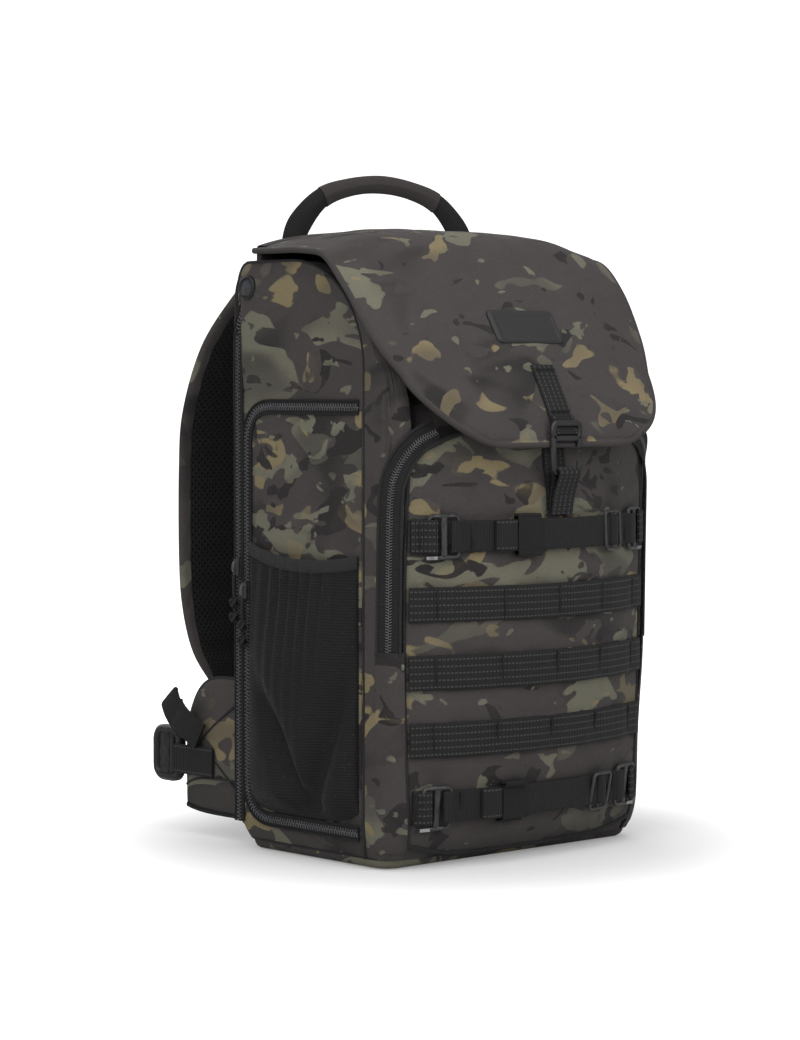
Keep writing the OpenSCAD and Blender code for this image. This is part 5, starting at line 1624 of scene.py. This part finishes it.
def make_hip_webbing(s, name):
    """Webbing of a hip wing: a sewn tail, and two folded bows of spare webbing beside it."""
    tail = Piece(f"{name}_hip_tapes")
    belt = np.array([[s * x, WING_TIP + y, 64.5] for x, y in ((137.4, -46), (137.8, -20), (137.4, 6))])
    tail.sweep(along(belt, 24), s * RIGHT, flat_profile(25, 1.9, 0.15), "stitched webbing")
    bow = np.array([[-19, 0], [-10, 1.8], [5, 3.0], [16, 1.2], [18, -0.6]])
    for x, y, z, turn, thick in ((138.6, -1.2, 103, 50, 4.6), (140.8, -17, 96, 32, 3.0)):
        way = np.array([0.0, np.cos(np.radians(turn)), np.sin(np.radians(turn))])
        middle = np.array([s * x, WING_TIP + y, z])
        path = along(middle + bow[:, :1] * way + s * bow[:, 1:] * RIGHT, 40)
        sideways = np.cross(s * RIGHT, way)
        out = unit(np.cross(heading(path), sideways))
        tail.sweep(path, out, flat_profile(25, thick, 0.15), "strap webbing", across=sideways)
    tail.done(f"{name}_wing", [f"{name}_hip_webbing"])


def make_hip_buckle(s, name):
    """Buckle half of a hip wing: a rounded frame with a thin and a wide cross bar."""
    buckle = Piece(f"{name}_hip_buckle_plastic")
    y0, z0 = WING_TIP + 1, 42
    frame_line = [(y0 + 5, z0 + 5), (y0 + 36, z0 + 5), (y0 + 36, z0 + 45), (y0 + 5, z0 + 45)]
    bars = ((frame_line, 10, True, bar_profile(8.0, 8.6, 2.4)),
            ([(y0 + 15, z0 + 4), (y0 + 15, z0 + 46)], 2, False, bar_profile(5, 6.4, 1.6)),
            ([(y0 + 25, z0 + 8), (y0 + 25, z0 + 42)], 2, False, bar_profile(14, 6.0, 1.6)))
    for corners, radius, ring, shape in bars:
        path = at_x(s * 130.6, rounded_line(corners, radius, 1.6, ring))
        buckle.sweep(path, s * RIGHT, shape, "moulded plastic", ring, 0.06)
    buckle.done(f"{name}_wing", [f"{name}_hip_buckle"])


def make_hip_belt():
    """Both hip wings with their webbing and buckle halves."""
    for s, name in ((-1, "left"), (1, "right")):
        make_hip_wing(s, name)
        make_hip_webbing(s, name)
        make_hip_buckle(s, name)


def make_handle():
    """Carry handle: flat webbing feet that turn into a folded grip wrapped in cloth."""
    top = BAG_H + 69
    half = [(HANDLE_HALF, 488.4, 12.3, 1.3), (HANDLE_HALF, 495, 12.3, 2.0),
            (HANDLE_HALF - 7, 514, 12.3, 2.0), (HANDLE_HALF - 31, 537, 9, 3.0),
            (HANDLE_HALF - 62, top - 11.4, 7.3, 3.6)]
    rows = [(-x, z, w, t) for x, z, w, t in half] + [(0, top - 7.5, 7.3, 3.6)] + half[::-1]
    row = curve(rows, np.linspace(0, len(rows) - 1, 150))
    path = np.stack([row[:, 0], np.full(150, HANDLE_Y), row[:, 1]], 1)
    face = flat_profile(2.0, 2.0, 0.0, 4)
    shape = np.stack([face[None, :, 0] * row[:, 2:3], face[None, :, 1] * row[:, 3:4]], -1)
    up = unit(np.cross(heading(path), BACK))
    handle = Piece("grab_handle_tape")
    handle.sweep(path, BACK, shape, "strap webbing", across=up)
    grip = slice(46, 104)
    shape = np.stack([face[None, :, 0] * (row[grip, 2:3] + 0.7), face[None, :, 1] * (row[grip, 3:4] + 0.8)],
                     -1)
    handle.sweep(path[grip], BACK, shape, "hem cloth", across=up[grip])
    handle.done("handle", ["grab_handle"])


def make_inside(nodes):
    """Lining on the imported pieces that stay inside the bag."""
    for node in nodes:
        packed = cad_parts[node].data
        packed.materials.clear()
        packed.materials.append(bpy.data.materials["shelf lining"])


def area_light(name, place, aim, size, power):
    """Soft square lamp that looks from its place at a point."""
    lamp = bpy.data.lights.new(name, "AREA")
    lamp.energy = power
    lamp.size = size
    obj = bpy.data.objects.new(name, lamp)
    bpy.context.scene.collection.objects.link(obj)
    obj.location = place
    turn_to(obj, np.asarray(aim, float) - np.asarray(place, float))


def turn_to(obj, direction):
    """Turns a lamp or camera so that it looks along a direction, upright."""
    look = unit(np.asarray(direction, float))
    right = unit(np.cross(look, UP))
    up = np.cross(right, look)
    matrix = np.eye(4)
    matrix[:3, 0], matrix[:3, 1], matrix[:3, 2], matrix[:3, 3] = right, up, -look, obj.location
    obj.matrix_world = Matrix(matrix.tolist())


def make_world():
    """Pale world that lights the bag less than it shows to the camera."""
    world = bpy.data.worlds.new("studio")
    bpy.context.scene.world = world
    world.use_nodes = True
    n = Nodes(world.node_tree)
    background = world.node_tree.nodes["Background"]
    path = n.new("ShaderNodeLightPath").outputs
    n.put(background.inputs["Strength"], n.plus(0.36, n.times(path["Is Camera Ray"], 0.64)))
    background.inputs["Color"].default_value = (1, 1, 1, 1)


def make_paper(colours):
    """Pale floor paper with a glow that only the camera sees, brighter the farther it is from the bag:
    painted shade round the bag's foot.
    """
    paper = Finish("studio floor", Specular_IOR_Level=0.1)
    soil = paper.use("soil", Place=paper.place, Roughness=0.85, Change=0.1, Dust=0.0)
    tone = paper.n.mix(0.06, rgba(colours.floor), paper.tint(rgba(colours.floor), soil["Tone"]))
    paper.finish(tone, soil["Roughness"], paper.n.noise(paper.place, 300.0), 0.0001)
    rays = paper.n.new("ShaderNodeLightPath").outputs
    east, north = paper.n.split(paper.place)
    away = paper.n.plus(paper.n.times(east, east), paper.n.times(north, north))
    # glow is 0.22 near the bag and 0.9 away from it: painted shade round the bag's foot over the lit floor
    glow = paper.n.mix(paper.n.step(away, 0.015, 0.14), (0.22, 0.22, 0.22, 1), (0.9, 0.9, 0.9, 1))
    paper.n.put(paper.surface.inputs["Emission Color"],
                paper.n.mix(rays["Is Camera Ray"], (0, 0, 0, 1), glow))
    paper.surface.inputs["Emission Strength"].default_value = 1.0


def make_floor():
    """Floor that bends up behind the bag on a quarter circle, in metres along the camera's look."""
    size, start, bend, top, drop = 6.0, 2.6, 1.2, 5.0, 0.0004
    turn = np.linspace(0, np.pi / 2, 24)
    side = np.concatenate([[-size], start + bend * np.sin(turn), [start + bend]])
    rise = np.concatenate([[0], bend * (1 - np.cos(turn)), [top]])
    across = np.linspace(-size, size, 9)
    points = side[:, None, None] * LOOK + across[:, None] * SIDEWAYS + (rise[:, None, None] - drop) * UP
    floor = Piece("studio_floor")
    floor.grid(points / MM, "studio floor", flip=True)
    floor.build()


def make_lamps():
    """Four soft boxes that look at the bag's middle."""
    lamps = (("top_soft_box", (-0.5, -0.7, 2.3), 2.2, 29), ("left_soft_box", (-2.4, -0.9, 1.3), 1.6, 23),
             ("front_soft_box", (0.6, -2.6, 1.2), 1.6, 21), ("back_soft_box", (0.9, 2.2, 1.6), 1.8, 16))
    for name, place, size, power in lamps:
        area_light(name, place, (0.0, 0.0, 0.25), size, power)


def make_camera():
    """Camera at the photograph's angle, with plain view colours."""
    scene = bpy.context.scene
    scene.view_settings.view_transform = "Standard"
    camera = bpy.data.cameras.new("camera")
    camera.sensor_width = 36
    camera.lens = CAMERA_LENS
    camera.clip_end = 50
    obj = bpy.data.objects.new("camera", camera)
    scene.collection.objects.link(obj)
    obj.location = np.array(CAMERA_PLACE) * MM
    turn_to(obj, LOOK - CAMERA_PAN * SIDEWAYS - CAMERA_DIP * UP)
    scene.camera = obj


def settings():
    """The bag's sizes and colours as the sidebar holds them."""
    return bpy.context.scene.bag_sizes, bpy.context.scene.bag_colours


class BAG_OT_finishes(Operator):
    """Build the cloth, webbing, mesh, plastic, metal and rubber materials"""

    bl_idname = "bag.finishes"
    bl_label = "Finishes"

    def execute(self, context):
        make_finishes(*settings())
        return {"FINISHED"}


class BAG_OT_stage(Operator):
    """Set the floor, the lamps and the camera"""

    bl_idname = "bag.stage"
    bl_label = "Stage"

    def execute(self, context):
        make_world()
        make_paper(settings()[1])
        make_floor()
        make_lamps()
        make_camera()
        return {"FINISHED"}


class BAG_OT_pulls(Operator):
    """Hang the knotted cord pulls on the zip sliders"""

    bl_idname = "bag.pulls"
    bl_label = "Cord pulls"

    def execute(self, context):
        make_pulls()
        return {"FINISHED"}


class BAG_OT_body(Operator):
    """Sew the side panels, hood, corner strips and base"""

    bl_idname = "bag.body"
    bl_label = "Body"

    def execute(self, context):
        sizes = settings()[0]
        make_sides(sizes)
        make_hood()
        make_corners(sizes)
        make_base()
        return {"FINISHED"}


class BAG_OT_front(Operator):
    """Sew the front pocket panel and its webbing rows"""

    bl_idname = "bag.front"
    bl_label = "Front panel"

    def execute(self, context):
        make_front(settings()[0])
        make_webbing_rows()
        return {"FINISHED"}


class BAG_OT_zips(Operator):
    """Lay the front, door and rear zips with their sliders, and press in the port plug"""

    bl_idname = "bag.zips"
    bl_label = "Zips"

    def execute(self, context):
        sizes = settings()[0]
        make_front_zips(sizes)
        make_side_zips(sizes)
        make_sliders()
        make_plug()
        return {"FINISHED"}


class BAG_OT_flap(Operator):
    """Sew the flap with its patch and strap, and hang its hook in the loop"""

    bl_idname = "bag.flap"
    bl_label = "Flap"

    def execute(self, context):
        make_flap(settings()[0])
        make_flap_patch()
        make_flap_strap()
        make_flap_hook()
        make_hook_loop()
        return {"FINISHED"}


class BAG_OT_accessory_straps(Operator):
    """Thread the two accessory straps with their hooks, sliders and keepers"""

    bl_idname = "bag.accessory_straps"
    bl_label = "Accessory straps"

    def execute(self, context):
        make_accessory_straps()
        return {"FINISHED"}


class BAG_OT_door(Operator):
    """Sew the side door and the two bottle pockets"""

    bl_idname = "bag.door"
    bl_label = "Door and pockets"

    def execute(self, context):
        make_door(settings()[0])
        make_pockets()
        return {"FINISHED"}


class BAG_OT_back(Operator):
    """Build the rear panel with its pads, yoke and tabs"""

    bl_idname = "bag.back"
    bl_label = "Back"

    def execute(self, context):
        make_rear_panel()
        make_pads()
        make_yoke()
        return {"FINISHED"}


class BAG_OT_harness(Operator):
    """Build the shoulder straps, the hip belt and the carry handle"""

    bl_idname = "bag.harness"
    bl_label = "Harness"

    def execute(self, context):
        make_shoulder_straps()
        make_hip_belt()
        make_handle()
        return {"FINISHED"}


class BAG_OT_inside(Operator):
    """Line the bulkhead and the padded shelves"""

    bl_idname = "bag.inside"
    bl_label = "Inside"

    def execute(self, context):
        make_inside(("bulkhead", "padded_dividers"))
        return {"FINISHED"}


OPERATORS = (BAG_OT_finishes, BAG_OT_stage, BAG_OT_pulls, BAG_OT_body, BAG_OT_front, BAG_OT_zips,
             BAG_OT_flap, BAG_OT_accessory_straps, BAG_OT_door, BAG_OT_back, BAG_OT_harness, BAG_OT_inside)


class BAG_PT_panel(Panel):
    """Sidebar panel with the bag's sizes, colours and pieces"""

    bl_idname = "BAG_PT_panel"
    bl_label = "Backpack"
    bl_space_type = "VIEW_3D"
    bl_region_type = "UI"
    bl_category = "Backpack"

    def draw(self, context):
        for group in settings():
            for key in type(group).__annotations__:
                self.layout.prop(group, key)
        for operator in OPERATORS:
            self.layout.operator(operator.bl_idname)


CLASSES = (BagSizes, BagColours, *OPERATORS, BAG_PT_panel)


def register():
    for cls in CLASSES:
        bpy.utils.register_class(cls)
    bpy.types.Scene.bag_sizes = PointerProperty(type=BagSizes)
    bpy.types.Scene.bag_colours = PointerProperty(type=BagColours)


def unregister():
    del bpy.types.Scene.bag_colours
    del bpy.types.Scene.bag_sizes
    for cls in reversed(CLASSES):
        bpy.utils.unregister_class(cls)


def main():
    """Makes every piece in order."""
    register()
    for operator in OPERATORS:
        group, name = operator.bl_idname.split(".")
        getattr(getattr(bpy.ops, group), name)()


if __name__ == "__main__":
    main()
